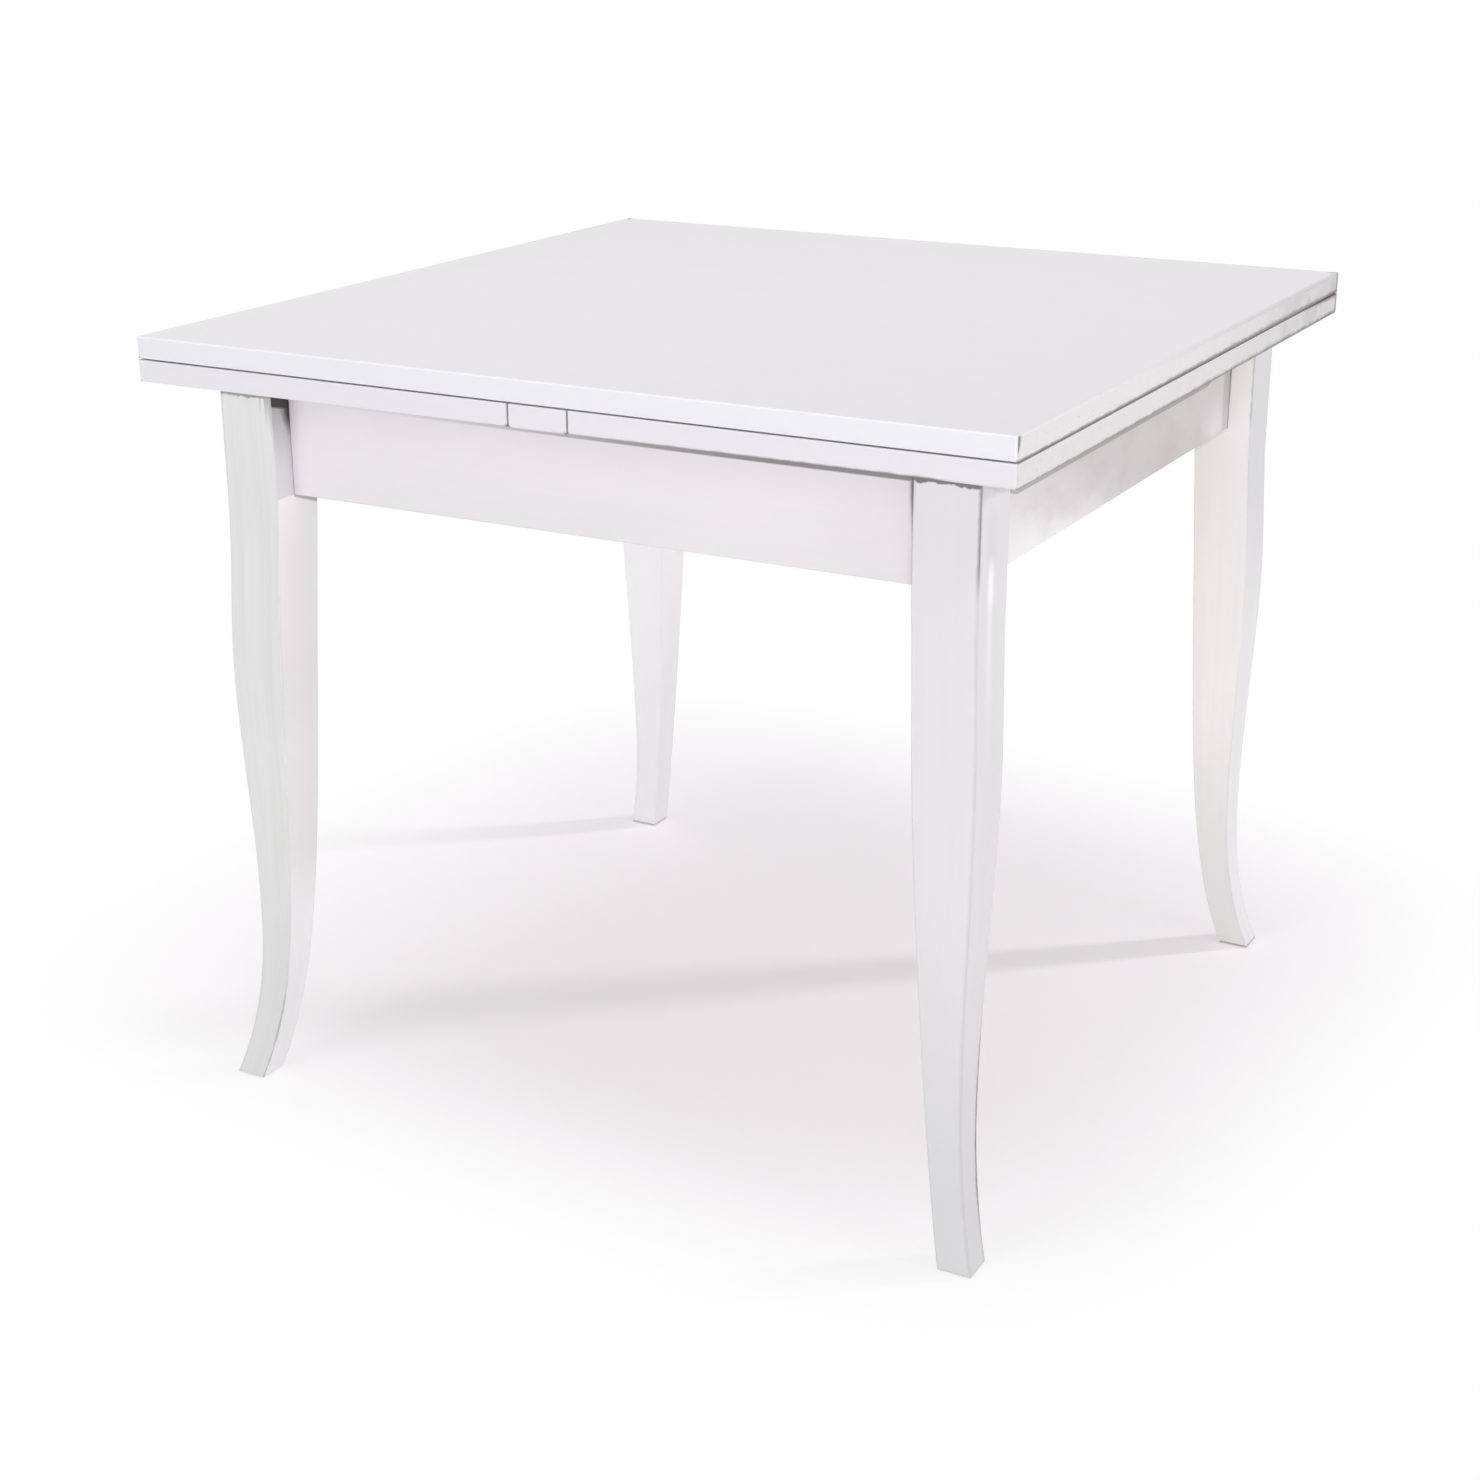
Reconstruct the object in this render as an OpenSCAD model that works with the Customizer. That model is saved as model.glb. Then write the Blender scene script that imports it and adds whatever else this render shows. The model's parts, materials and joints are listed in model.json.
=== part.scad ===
// Extending dining table: a loose square top over two draw leaves and a fixed centre
// batten, carried by a frame with four sabre legs. Millimetres, +Z up, the origin on
// the floor under the middle of the table. X is the way the leaves draw out.

/* [Top] */
// Length of the top along X, the way the leaves draw
top_len = 900; // [820:10:1000]
// Width of the top along Y
top_wid = 900; // [820:10:1000]
// Height of the top face above the floor
table_h = 786; // [740:2:820]
// Thickness of the top panel
top_t = 21; // [18:1:28]
// Thickness of the solid lipping round each panel
lipping_t = 6; // [4:1:10]
// Gap between the top and the leaves, held open by the felt pads
seam = 1.5; // [1:0.5:3]
// How far the top lifts before its washers stop it
lift = 22.5; // [21:0.5:30]

/* [Leaves] */
// Thickness of each leaf
leaf_t = 21; // [18:1:26]
// Width of the fixed batten between the leaves
batten_w = 60; // [50:2:90]
// Gap between each leaf and the batten
batten_gap = 1.5; // [1:0.5:3]
// Height of a leaf's underside above the front and rear rails
leaf_run = 0.5; // [0.3:0.1:1.5]
// Height of a leaf's underside above the end rails and the legs
end_run = 2.5; // [1.5:0.5:5]

/* [Legs] */
// Overhang of the top past the legs' outer faces
leg_overhang = 52; // [40:1:70]
// Width of a leg's square block
leg_w = 61.5; // [56:0.5:72]
// Length of square block left below the rails
leg_drop = 8; // [4:1:20]
// Height of the knee above the floor
knee_z = 450; // [420:5:500]
// How far the knee swells past the block
knee_out = 5; // [2:0.5:8]
// Height of the ankle above the floor
ankle_z = 200; // [170:5:230]
// How far the ankle lies inside the block's outer face
ankle_in = 1.5; // [0:0.5:5]
// How far the toe stands out past the block's outer face
toe_out = 24.5; // [18:0.5:32]
// Sharpness of the toe's curve
toe_power = 2.6; // [2:0.1:3.2]
// Steady taper of the leg's inner face from block to floor
leg_taper = 25; // [20:0.5:28]
// Extra sweep of the inner face at the heel
heel_in = 27.5; // [22:0.5:30]
// Sharpness of the heel's curve
heel_power = 6; // [5:0.5:8]
// Straight steps that make up each curve of a leg
leg_steps = 30; // [20:2:48]

/* [Rails] */
// Height of the front and rear rails
rail_h = 114; // [104:2:130]
// Thickness of a rail
rail_t = 20; // [18:1:24]
// Setback of the rails behind the legs' outer faces
rail_setback = 25.5; // [20:0.5:28]
// Length of the stub tenons into the legs
tenon_l = 12; // [8:1:13]
// Thickness of the tenons
tenon_t = 10; // [8:1:12]
// Shoulder of the tenons above and below
tenon_shoulder = 12; // [8:1:20]
// Thickness of each inner guide rail
guide_t = 20; // [16:1:24]
// Height of the guide rails' lower edge above the rails'
guide_raise = 22; // [10:1:30]
// Length of the guide rails' stub tenons
guide_tenon_l = 8; // [5:1:12]
// Wood left above each window in the guide rails
bridge_t = 12; // [10:1:15]

/* [Lopers] */
// Width of a loper
loper_w = 22; // [18:1:28]
// Height of a loper where it is screwed to its leaf
loper_h = 40; // [36:1:46]
// Distance from the middle of the table to each pair of lopers
lane_y = 195; // [180:5:205]
// Gap between the two lopers of a pair
lane_gap = 8; // [6:1:12]
// Gap between a loper's tail and the far end rail
tail_gap = 12; // [8:1:20]
// Distance from a guide rail to the step of its own lopers
step_gap = 6; // [3:1:12]
// Length of a stop block along its loper
stop_l = 12; // [10:1:20]
// Height of a stop block below its loper
stop_h = 18; // [12:1:22]
// Play left between a stop block and the guide rail at full draw
stop_play = 0.5; // [0.3:0.1:1]
// Distance of the end screws from the ends of a loper's full-height part
loper_screw_inset = 30; // [20:1:50]
// How far the lopers' screws bite into the leaf
leaf_bite = 14; // [8:1:16]
// How far the stop blocks' screw heads are sunk
stop_head_sink = 4; // [2:1:8]

/* [Pegs] */
// Diameter of the pegs that keep the top in place
peg_d = 20; // [16:1:24]
// Diameter of the spigot glued into the top
spigot_d = 12; // [8:1:14]
// Depth of the spigot in the top
spigot_l = 12; // [8:1:14]
// Distance of each peg from the middle of the table
peg_y = 260; // [250:5:300]
// Diameter of the washer under each peg
washer_d = 34; // [28:1:38]
// Thickness of the washers under the pegs
washer_t = 2; // [1.5:0.5:3]
// Diameter of the felt pads
pad_d = 18; // [14:1:24]
// Distance of the inner felt pads from the middle of the table
pad_in_y = 110; // [60:5:200]
// Distance of the outer felt pads from the middle of the table
pad_out_y = 400; // [310:5:405]

/* [Corner blocks] */
// Height of a corner block
block_h = 60; // [50:2:70]
// Thickness of a corner block
block_t = 24; // [20:1:28]
// Gap between a corner block and its leg
block_gap = 7; // [4:1:10]
// Diameter of the hanger bolts
bolt_d = 8; // [6:1:8]
// Length of a hanger bolt inside its leg
bolt_in = 30; // [20:1:34]
// Width across the flats of the nuts
nut_af = 13; // [12:1:14]
// Height of the nuts
nut_h = 6.5; // [5:0.5:8]
// Diameter of the washers under the nuts
bolt_washer_d = 20; // [18:1:24]
// Thickness of the washers under the nuts
bolt_washer_t = 2; // [1.5:0.5:3]
// Length of bolt left bare behind each nut
bolt_back = 4; // [2:1:8]
// How far the corner blocks' screw heads are sunk
block_head_sink = 6; // [3:1:8]

/* [Screws] */
// Diameter of the wood screws
screw_d = 4; // [3.5:0.5:5]
// Diameter of their countersunk heads
head_d = 8; // [7:0.5:9]
// Length of the screws through the lopers
loper_screw_l = 32; // [28:1:34]
// Length of the screws through the batten
batten_screw_l = 50; // [40:1:60]
// Length of the corner blocks' screws
block_screw_l = 25; // [20:1:28]
// Length of the stop blocks' screws
stop_screw_l = 30; // [26:1:34]
// Length of the screws in the pegs
peg_screw_l = 30; // [20:1:36]

/* [Feet] */
// Diameter of the nylon glides
glide_d = 22; // [16:1:24]
// Thickness of the glides
glide_t = 5; // [4:0.5:8]
// How far the glides stand out of the feet
glide_stand = 1; // [0.5:0.5:2]

/* [Clearances] */
// Running gap above and below a loper
run_gap = 0.3; // [0.2:0.1:0.6]
// Running gap at each side of a loper
side_gap = 0.5; // [0.3:0.1:1]
// Radial gap round the pegs
peg_gap = 0.3; // [0.2:0.1:0.6]
// Gap round tenons, screws, spigots and glides in their holes
fit_gap = 0.1; // [0.05:0.05:0.2]

/* [Hidden] */
$fn = 48;

paint = "#ECEBEC";
paint_shade = "#DEDDDB";
bare_wood = "#D9C3A0";
steel = "#A9ACB0";
nylon = "#5A5A58";
felt = "#6B6A62";

// Sides and ends, as signs along X and Y
LEFT = -1;
RIGHT = 1;
FRONT = -1;
REAR = 1;
ENDS = [FRONT, REAR];
CORNERS = [for (sx = [LEFT, RIGHT], sy = ENDS) [sx, sy]];

// Overlap that carries a cut past the face it opens
cut = 1;

// Levels
top_z = table_h - top_t;
leaf_top_z = top_z - seam;
leaf_z = leaf_top_z - leaf_t;
rail_top_z = leaf_z - leaf_run;
end_top_z = leaf_z - end_run;
rail_z = rail_top_z - rail_h;
leg_block_z = rail_z - leg_drop;
loper_z = leaf_z - loper_h;
window_top_z = rail_top_z - bridge_t;
tail_top_z = window_top_z - run_gap;
guide_z = rail_z + guide_raise;
bolt_z = (rail_z + end_top_z) / 2;
block_z = bolt_z - block_h / 2;

// Plan places, measured from the middle of the table
leg_x = top_len / 2 - leg_overhang;
leg_y = top_wid / 2 - leg_overhang;
leg_in_x = leg_x - leg_w;
leg_in_y = leg_y - leg_w;
rail_x = leg_x - rail_setback;
rail_y = leg_y - rail_setback;
rail_in_x = rail_x - rail_t;
rail_in_y = rail_y - rail_t;
leaf_x = batten_w / 2 + batten_gap;
leaf_len = top_len / 2 - leaf_x;
tail_x = -(rail_in_x - tail_gap);
guide_x = tail_x + leaf_len + stop_l + stop_play;
step_x = guide_x + guide_t + step_gap;

// Each leaf's lopers run in lanes of their own: the right leaf's outside the left's
lane_step = (loper_w + lane_gap) / 2;
function lane(side) = lane_y + side * lane_step;

// Screws through a loper stand at even steps along its full-height part
head_h = head_d / 4;
screws_per_loper = 3;
loper_screw_xs = [for (i = [0 : screws_per_loper - 1])
    step_x + loper_screw_inset
    + i * (rail_x - step_x - 2 * loper_screw_inset) / (screws_per_loper - 1)];
loper_head_z = leaf_z + leaf_bite - loper_screw_l;
batten_screw_x = batten_w / 4;
peg_len = seam + leaf_t + leaf_run + lift;
peg_end_z = top_z - peg_len;

// Corner block in plan: its origin is the leg's inner corner, the rails' inner faces
// lie setin beyond it, and its faces run square to the diagonal
setin = leg_w - rail_setback - rail_t;
block_out = -block_gap * sqrt(2);
block_in = -(block_gap + block_t) * sqrt(2);
block_screw_x = (block_in + block_out) / 2 - setin;
block_head_y = block_in - block_screw_x + block_head_sink;
nut_face = -(block_gap + block_t);
bolt_out = block_gap + block_t + bolt_washer_t + nut_h + bolt_back;

// Smooth step from 0 to 1
function ease(t) = t * t * (3 - 2 * t);

// Distance of a leg's outer face from the block's outer face, at height z
function outer_at(z) =
    z >= leg_block_z ? 0
    : z >= knee_z ? knee_out * ease((leg_block_z - z) / (leg_block_z - knee_z))
    : z >= ankle_z ? knee_out - (knee_out + ankle_in) * ease((knee_z - z) / (knee_z - ankle_z))
    : -ankle_in + (toe_out + ankle_in) * pow((ankle_z - z) / ankle_z, toe_power);

// Distance of a leg's inner face from the block's outer face, at height z
function inner_at(z) =
    let (t = max(0, leg_block_z - z) / leg_block_z)
    -leg_w + leg_taper * t + heel_in * pow(t, heel_power);

foot_x = (outer_at(0) + inner_at(0)) / 2;

function leg_levels() = concat(
    [for (i = [0 : leg_steps]) glide_stand + (leg_block_z - glide_stand) * i / leg_steps],
    [end_top_z]);

// Outline of a leg seen square to a face: outer curve going up, inner curve going down
function leg_outline() = let (levels = leg_levels(), last = len(levels) - 1) concat(
    [for (i = [0 : last]) [outer_at(levels[i]), levels[i]]],
    [for (i = [last : -1 : 0]) [inner_at(levels[i]), levels[i]]]);

// Puts what is drawn for the right-hand side on either side
module on_side(side) {
    if (side == LEFT) mirror([1, 0, 0]) children();
    else children();
}

// Puts what is drawn for the rear on the front or the rear
module on_end(end) {
    if (end == FRONT) mirror([0, 1, 0]) children();
    else children();
}

module on_corner(sx, sy) on_side(sx) on_end(sy) children();

// Local axes at a leg's inner corner, in the rear right quarter
module at_leg_corner() translate([leg_in_x, leg_in_y, 0]) children();

// Local Z runs outwards along the diagonal through a leg
module on_diagonal() translate([0, 0, bolt_z]) rotate([0, 90, 45]) children();

// Box given by its lowest and highest corners
module block(low, high) translate(low) cube(high - low);

// Countersunk wood screw with a cross recess: head at the origin, pointing up
module screw(length) {
    tip_h = screw_d;
    slot = [head_d * 0.55, head_d * 0.13, head_h * 0.6];
    difference() {
        rotate_extrude() polygon([
            [0, 0], [head_d / 2, 0], [screw_d / 2, head_h],
            [screw_d / 2, length - tip_h], [0, length]]);
        for (turn = [0, 90]) rotate([0, 0, turn])
            translate([-slot[0] / 2, -slot[1] / 2, -slot[2]])
                cube([slot[0], slot[1], 2 * slot[2]]);
    }
}

// Hole for a screw, with a straight counterbore of the given depth before its head
module screw_hole(length, counterbore = cut) {
    tip_h = screw_d;
    rotate_extrude() polygon([
        [0, -counterbore], [head_d / 2 + fit_gap, -counterbore], [head_d / 2 + fit_gap, 0],
        [screw_d / 2 + fit_gap, head_h], [screw_d / 2 + fit_gap, length - tip_h],
        [0, length + fit_gap]]);
}

module ring(outer_d, inner_d, height) difference() {
    cylinder(d = outer_d, h = height);
    translate([0, 0, -cut]) cylinder(d = inner_d, h = height + 2 * cut);
}

// Legs

module leg_blank() {
    reach = leg_w + toe_out + 2 * cut;
    intersection() {
        translate([0, toe_out + cut, 0]) rotate([90, 0, 0])
            linear_extrude(reach) polygon(leg_outline());
        translate([toe_out + cut - reach, 0, 0]) rotate([90, 0, 90])
            linear_extrude(reach) polygon(leg_outline());
    }
}

// Stub tenon of a rail on the Y side of a leg, entering along X. Its gap makes the mortise
module long_rail_tenon(gap) {
    mid_y = rail_y - rail_t / 2;
    block([leg_in_x - cut, mid_y - tenon_t / 2 - gap, rail_z + tenon_shoulder - gap],
          [leg_in_x + tenon_l + gap, mid_y + tenon_t / 2 + gap, rail_top_z - tenon_shoulder + gap]);
}

// Stub tenon of an end rail, entering along Y
module end_rail_tenon(gap) {
    mid_x = rail_x - rail_t / 2;
    block([mid_x - tenon_t / 2 - gap, leg_in_y - cut, rail_z + tenon_shoulder - gap],
          [mid_x + tenon_t / 2 + gap, leg_in_y + tenon_l + gap, end_top_z - tenon_shoulder + gap]);
}

module leg(sx, sy) color(paint) on_corner(sx, sy) difference() {
    translate([leg_x, leg_y, 0]) leg_blank();
    long_rail_tenon(fit_gap);
    end_rail_tenon(fit_gap);
    at_leg_corner() on_diagonal() translate([0, 0, -cut])
        cylinder(d = bolt_d + 2 * fit_gap, h = bolt_in + fit_gap + cut);
    translate([leg_x + foot_x, leg_y + foot_x, -cut])
        cylinder(d = glide_d + 2 * fit_gap, h = glide_t + cut);
}

module foot_glides() color(nylon) for (corner = CORNERS) on_corner(corner[0], corner[1])
    translate([leg_x + foot_x, leg_y + foot_x, 0]) cylinder(d = glide_d, h = glide_t);

// Rails

// Stub tenon of a guide rail in the rear rail
module guide_tenon(gap) {
    mid_x = guide_x + guide_t / 2;
    block([mid_x - tenon_t / 2 - gap, rail_in_y - cut, guide_z + tenon_shoulder - gap],
          [mid_x + tenon_t / 2 + gap, rail_in_y + guide_tenon_l + gap,
           rail_top_z - tenon_shoulder + gap]);
}

module long_rail(end) color(paint) on_end(end) difference() {
    union() {
        block([-leg_in_x, rail_in_y, rail_z], [leg_in_x, rail_y, rail_top_z]);
        for (side = [LEFT, RIGHT]) on_side(side) long_rail_tenon(0);
    }
    for (side = [LEFT, RIGHT]) on_side(side) {
        guide_tenon(fit_gap);
        at_leg_corner() block_screws_at(long_side = true, hole = true);
    }
    batten_screw_places() screw_hole(batten_screw_l);
}

module end_rail(side) color(paint_shade) on_side(side) difference() {
    union() {
        block([rail_in_x, -leg_in_y, rail_z], [rail_x, leg_in_y, end_top_z]);
        for (end = ENDS) on_end(end) end_rail_tenon(0);
    }
    for (end = ENDS) on_end(end) {
        block([rail_in_x - cut, lane(side) - loper_w / 2 - side_gap, loper_z - run_gap],
              [rail_x + cut, lane(side) + loper_w / 2 + side_gap, end_top_z + cut]);
        at_leg_corner() block_screws_at(long_side = false, hole = true);
    }
}

// Window that a loper runs through; a drop makes room for the other leaf's stop blocks
module window(y, drop) block(
    [guide_x - cut, y - loper_w / 2 - side_gap, loper_z - run_gap - drop],
    [guide_x + guide_t + cut, y + loper_w / 2 + side_gap, window_top_z]);

module guide_rail(side) color(bare_wood) on_side(side) difference() {
    union() {
        block([guide_x, -rail_in_y, guide_z], [guide_x + guide_t, rail_in_y, rail_top_z]);
        for (end = ENDS) on_end(end) guide_tenon(0);
    }
    for (end = ENDS) on_end(end) {
        window(lane(side), 0);
        window(lane(-side), stop_h);
    }
}

// Centre batten

module batten_screw_places() for (sx = [LEFT, RIGHT], end = ENDS) on_corner(sx, end)
    translate([batten_screw_x, rail_y - rail_t / 2, leaf_top_z]) rotate([180, 0, 0]) children();

module peg_places() for (end = ENDS) on_end(end) translate([0, peg_y, 0]) children();

module centre_batten() color(paint) difference() {
    block([-batten_w / 2, -top_wid / 2, rail_top_z], [batten_w / 2, top_wid / 2, leaf_top_z]);
    batten_screw_places() screw_hole(batten_screw_l);
    peg_places() translate([0, 0, rail_top_z - cut])
        cylinder(d = peg_d + 2 * peg_gap, h = leaf_t + leaf_run + 2 * cut);
}

module batten_screws() color(steel) batten_screw_places() screw(batten_screw_l);

// Corner blocks, in the axes of a leg's inner corner

// The two screws of a corner block: along Y into a long rail, along X into an end rail
module block_screws_at(long_side, hole) {
    along = long_side ? [0, 0, 0] : [1, -1, 0];
    mirror(along) translate([block_screw_x, block_head_y, bolt_z]) rotate([-90, 0, 0])
        if (hole) screw_hole(block_screw_l, block_t);
        else screw(block_screw_l);
}

module corner_block(sx, sy) color(bare_wood) on_corner(sx, sy) at_leg_corner() difference() {
    translate([0, 0, block_z]) linear_extrude(block_h) polygon([
        [setin, block_in - setin], [setin, block_out - setin],
        [block_out - setin, setin], [block_in - setin, setin]]);
    on_diagonal() translate([0, 0, nut_face - cut])
        cylinder(d = bolt_d + 2 * fit_gap, h = block_t + 2 * cut);
    for (long_side = [true, false]) block_screws_at(long_side, hole = true);
}

module corner_block_screws() color(steel) for (corner = CORNERS)
    on_corner(corner[0], corner[1]) at_leg_corner()
        for (long_side = [true, false]) block_screws_at(long_side, hole = false);

module bolt_places() for (corner = CORNERS)
    on_corner(corner[0], corner[1]) at_leg_corner() on_diagonal() children();

module hanger_bolts() color(steel) bolt_places() translate([0, 0, -bolt_out])
    cylinder(d = bolt_d, h = bolt_out + bolt_in);

module hanger_washers() color(steel) bolt_places()
    translate([0, 0, nut_face - bolt_washer_t])
        ring(bolt_washer_d, bolt_d + 2 * fit_gap, bolt_washer_t);

module hanger_nuts() color(steel) bolt_places()
    translate([0, 0, nut_face - bolt_washer_t - nut_h]) difference() {
        cylinder(d = nut_af / cos(30), h = nut_h, $fn = 6);
        translate([0, 0, -cut]) cylinder(d = bolt_d + 2 * fit_gap, h = nut_h + 2 * cut);
    }

// Leaves

module loper_screw_places(side) for (end = ENDS, x = loper_screw_xs)
    on_corner(side, end) translate([x, lane(side), loper_head_z]) children();

module stop_screw_places(side) for (end = ENDS) on_corner(side, end)
    translate([tail_x + stop_l / 2, lane(side), loper_z - stop_h + stop_head_sink]) children();

module leaf_panel(side) color(paint) difference() {
    on_side(side) block([leaf_x, lipping_t - top_wid / 2, leaf_z],
                        [top_len / 2 - lipping_t, top_wid / 2 - lipping_t, leaf_top_z]);
    loper_screw_places(side) screw_hole(loper_screw_l);
}

module leaf_lipping(side) color(paint) on_side(side) {
    block([top_len / 2 - lipping_t, lipping_t - top_wid / 2, leaf_z],
          [top_len / 2, top_wid / 2 - lipping_t, leaf_top_z]);
    for (end = ENDS) on_end(end)
        block([leaf_x, top_wid / 2 - lipping_t, leaf_z], [top_len / 2, top_wid / 2, leaf_top_z]);
}

module loper(side, end) color(bare_wood) difference() {
    on_corner(side, end) translate([0, lane(side) - loper_w / 2, 0]) {
        block([step_x, 0, loper_z], [rail_x, loper_w, leaf_z]);
        block([tail_x, 0, loper_z], [step_x, loper_w, tail_top_z]);
    }
    loper_screw_places(side) screw_hole(loper_screw_l, loper_h);
    stop_screw_places(side) screw_hole(stop_screw_l, stop_h);
}

module loper_screws(side) color(steel) loper_screw_places(side) screw(loper_screw_l);

module stop_blocks(side) color(bare_wood) difference() {
    for (end = ENDS) on_corner(side, end) translate([tail_x, lane(side) - loper_w / 2, 0])
        block([0, 0, loper_z - stop_h], [stop_l, loper_w, loper_z]);
    stop_screw_places(side) screw_hole(stop_screw_l, stop_h);
}

module stop_screws(side) color(steel) stop_screw_places(side) screw(stop_screw_l);

// Top

module top_panel() color(paint) difference() {
    block([lipping_t - top_len / 2, lipping_t - top_wid / 2, top_z],
          [top_len / 2 - lipping_t, top_wid / 2 - lipping_t, table_h]);
    peg_places() translate([0, 0, top_z - cut])
        cylinder(d = spigot_d + 2 * fit_gap, h = spigot_l + fit_gap + cut);
}

module top_lipping() color(paint) {
    for (side = [LEFT, RIGHT]) on_side(side)
        block([top_len / 2 - lipping_t, lipping_t - top_wid / 2, top_z],
              [top_len / 2, top_wid / 2 - lipping_t, table_h]);
    for (end = ENDS) on_end(end)
        block([-top_len / 2, top_wid / 2 - lipping_t, top_z], [top_len / 2, top_wid / 2, table_h]);
}

// Peg: a spigot in the top, a shaft through the batten and a screw hole in its foot
module peg(end) color(bare_wood) on_end(end) translate([0, peg_y, 0]) difference() {
    union() {
        translate([0, 0, peg_end_z]) cylinder(d = peg_d, h = peg_len);
        translate([0, 0, top_z - cut]) cylinder(d = spigot_d, h = spigot_l + cut);
    }
    translate([0, 0, peg_end_z - washer_t]) screw_hole(peg_screw_l);
}

module peg_washers() color(steel) peg_places()
    translate([0, 0, peg_end_z - washer_t]) difference() {
        cylinder(d = washer_d, h = washer_t);
        screw_hole(peg_screw_l);
    }

module peg_screws() color(steel) peg_places()
    translate([0, 0, peg_end_z - washer_t]) screw(peg_screw_l);

module felt_pads() color(felt) for (end = ENDS, y = [pad_in_y, pad_out_y])
    on_end(end) translate([0, y, leaf_top_z]) cylinder(d = pad_d, h = seam);

leg(LEFT, FRONT);  // leg_front_left
leg(RIGHT, FRONT);  // leg_front_right
leg(LEFT, REAR);  // leg_rear_left
leg(RIGHT, REAR);  // leg_rear_right
long_rail(FRONT);  // rail_front
long_rail(REAR);  // rail_rear
end_rail(LEFT);  // end_rail_left
end_rail(RIGHT);  // end_rail_right
guide_rail(LEFT);  // guide_rail_left
guide_rail(RIGHT);  // guide_rail_right
centre_batten();
batten_screws();
corner_block(LEFT, FRONT);  // corner_block_front_left
corner_block(RIGHT, FRONT);  // corner_block_front_right
corner_block(LEFT, REAR);  // corner_block_rear_left
corner_block(RIGHT, REAR);  // corner_block_rear_right
hanger_bolts();
hanger_nuts();
hanger_washers();
corner_block_screws();
foot_glides();
leaf_panel(LEFT);  // left_leaf_panel
leaf_lipping(LEFT);  // left_leaf_lipping
loper(LEFT, FRONT);  // left_loper_front
loper(LEFT, REAR);  // left_loper_rear
loper_screws(LEFT);  // left_loper_screws
stop_blocks(LEFT);  // left_stop_blocks
stop_screws(LEFT);  // left_stop_screws
leaf_panel(RIGHT);  // right_leaf_panel
leaf_lipping(RIGHT);  // right_leaf_lipping
loper(RIGHT, FRONT);  // right_loper_front
loper(RIGHT, REAR);  // right_loper_rear
loper_screws(RIGHT);  // right_loper_screws
stop_blocks(RIGHT);  // right_stop_blocks
stop_screws(RIGHT);  // right_stop_screws
top_panel();
top_lipping();
peg(FRONT);  // peg_front
peg(REAR);  // peg_rear
peg_washers();
peg_screws();
felt_pads();
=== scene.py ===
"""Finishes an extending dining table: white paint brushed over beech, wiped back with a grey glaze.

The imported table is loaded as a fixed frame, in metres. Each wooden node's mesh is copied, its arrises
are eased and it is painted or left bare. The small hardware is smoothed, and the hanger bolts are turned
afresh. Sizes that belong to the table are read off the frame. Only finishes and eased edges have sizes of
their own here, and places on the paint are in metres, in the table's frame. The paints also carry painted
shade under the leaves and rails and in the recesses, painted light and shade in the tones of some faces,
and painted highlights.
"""

import json
import logging
import math
from bisect import bisect_right
from dataclasses import dataclass, replace
from enum import Enum
from functools import reduce
from typing import ClassVar

import bmesh
import bpy
from mathutils import Matrix, Vector

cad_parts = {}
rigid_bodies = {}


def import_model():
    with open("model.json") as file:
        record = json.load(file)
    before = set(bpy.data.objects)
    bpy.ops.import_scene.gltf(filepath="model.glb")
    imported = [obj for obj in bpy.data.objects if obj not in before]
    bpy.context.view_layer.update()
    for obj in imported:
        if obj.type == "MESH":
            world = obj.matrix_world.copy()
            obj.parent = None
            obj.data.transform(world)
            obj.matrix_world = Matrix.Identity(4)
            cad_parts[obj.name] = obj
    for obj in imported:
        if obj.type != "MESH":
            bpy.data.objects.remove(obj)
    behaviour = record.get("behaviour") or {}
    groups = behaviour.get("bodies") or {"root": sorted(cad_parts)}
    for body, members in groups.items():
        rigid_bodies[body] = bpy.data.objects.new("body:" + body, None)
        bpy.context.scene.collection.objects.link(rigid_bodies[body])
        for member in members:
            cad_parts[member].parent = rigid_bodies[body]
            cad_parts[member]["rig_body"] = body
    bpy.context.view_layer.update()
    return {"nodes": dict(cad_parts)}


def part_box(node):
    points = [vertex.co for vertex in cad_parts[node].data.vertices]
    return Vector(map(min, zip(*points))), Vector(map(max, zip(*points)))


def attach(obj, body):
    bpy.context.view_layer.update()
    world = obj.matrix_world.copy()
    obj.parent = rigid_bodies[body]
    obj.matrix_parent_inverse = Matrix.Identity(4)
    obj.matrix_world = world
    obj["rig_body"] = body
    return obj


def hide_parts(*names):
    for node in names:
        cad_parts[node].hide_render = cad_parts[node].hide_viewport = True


LOG = logging.getLogger("dining_table")

Colour = tuple[float, float, float, float]
Edges = list[bmesh.types.BMEdge]
Chain = list[bmesh.types.BMVert]
Nodes = dict[str, bpy.types.Object]
Socket = bpy.types.NodeSocket
Gaps = tuple[Socket, Socket, Socket]

# A fade goes from where it is 0 to where it is full. A swing is how much is added at most, and to what.
Fade = tuple[float, float]
Swing = tuple[float, float]

MM = 0.001
MERGE_DISTANCE = 0.001 * MM
FLAT_ANGLE = math.radians(0.3)
ARRIS_ANGLE = math.radians(50)
PLANE_TOLERANCE = 0.02 * MM
ENDS = ("front", "rear")


class Side(Enum):
    """The two ends of the table that a leaf draws out of."""

    LEFT = "left"
    RIGHT = "right"


class Grain(Enum):
    """The axis that a piece's grain runs along, and so its brush marks."""

    X = (1, 0, 0)
    Y = (0, 1, 0)
    Z = (0, 0, 1)

    def stretch(self, along: float, across: float) -> tuple[float, float, float]:
        """Returns how often a pattern repeats in a metre along each axis."""
        return tuple(along if a else across for a in self.value)


class Slot(Enum):
    """The record's material slots."""

    PAINT = "white_paint"
    WOOD = "bare_wood"
    STEEL = "steel"
    NYLON = "nylon"
    FELT = "felt"


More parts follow.
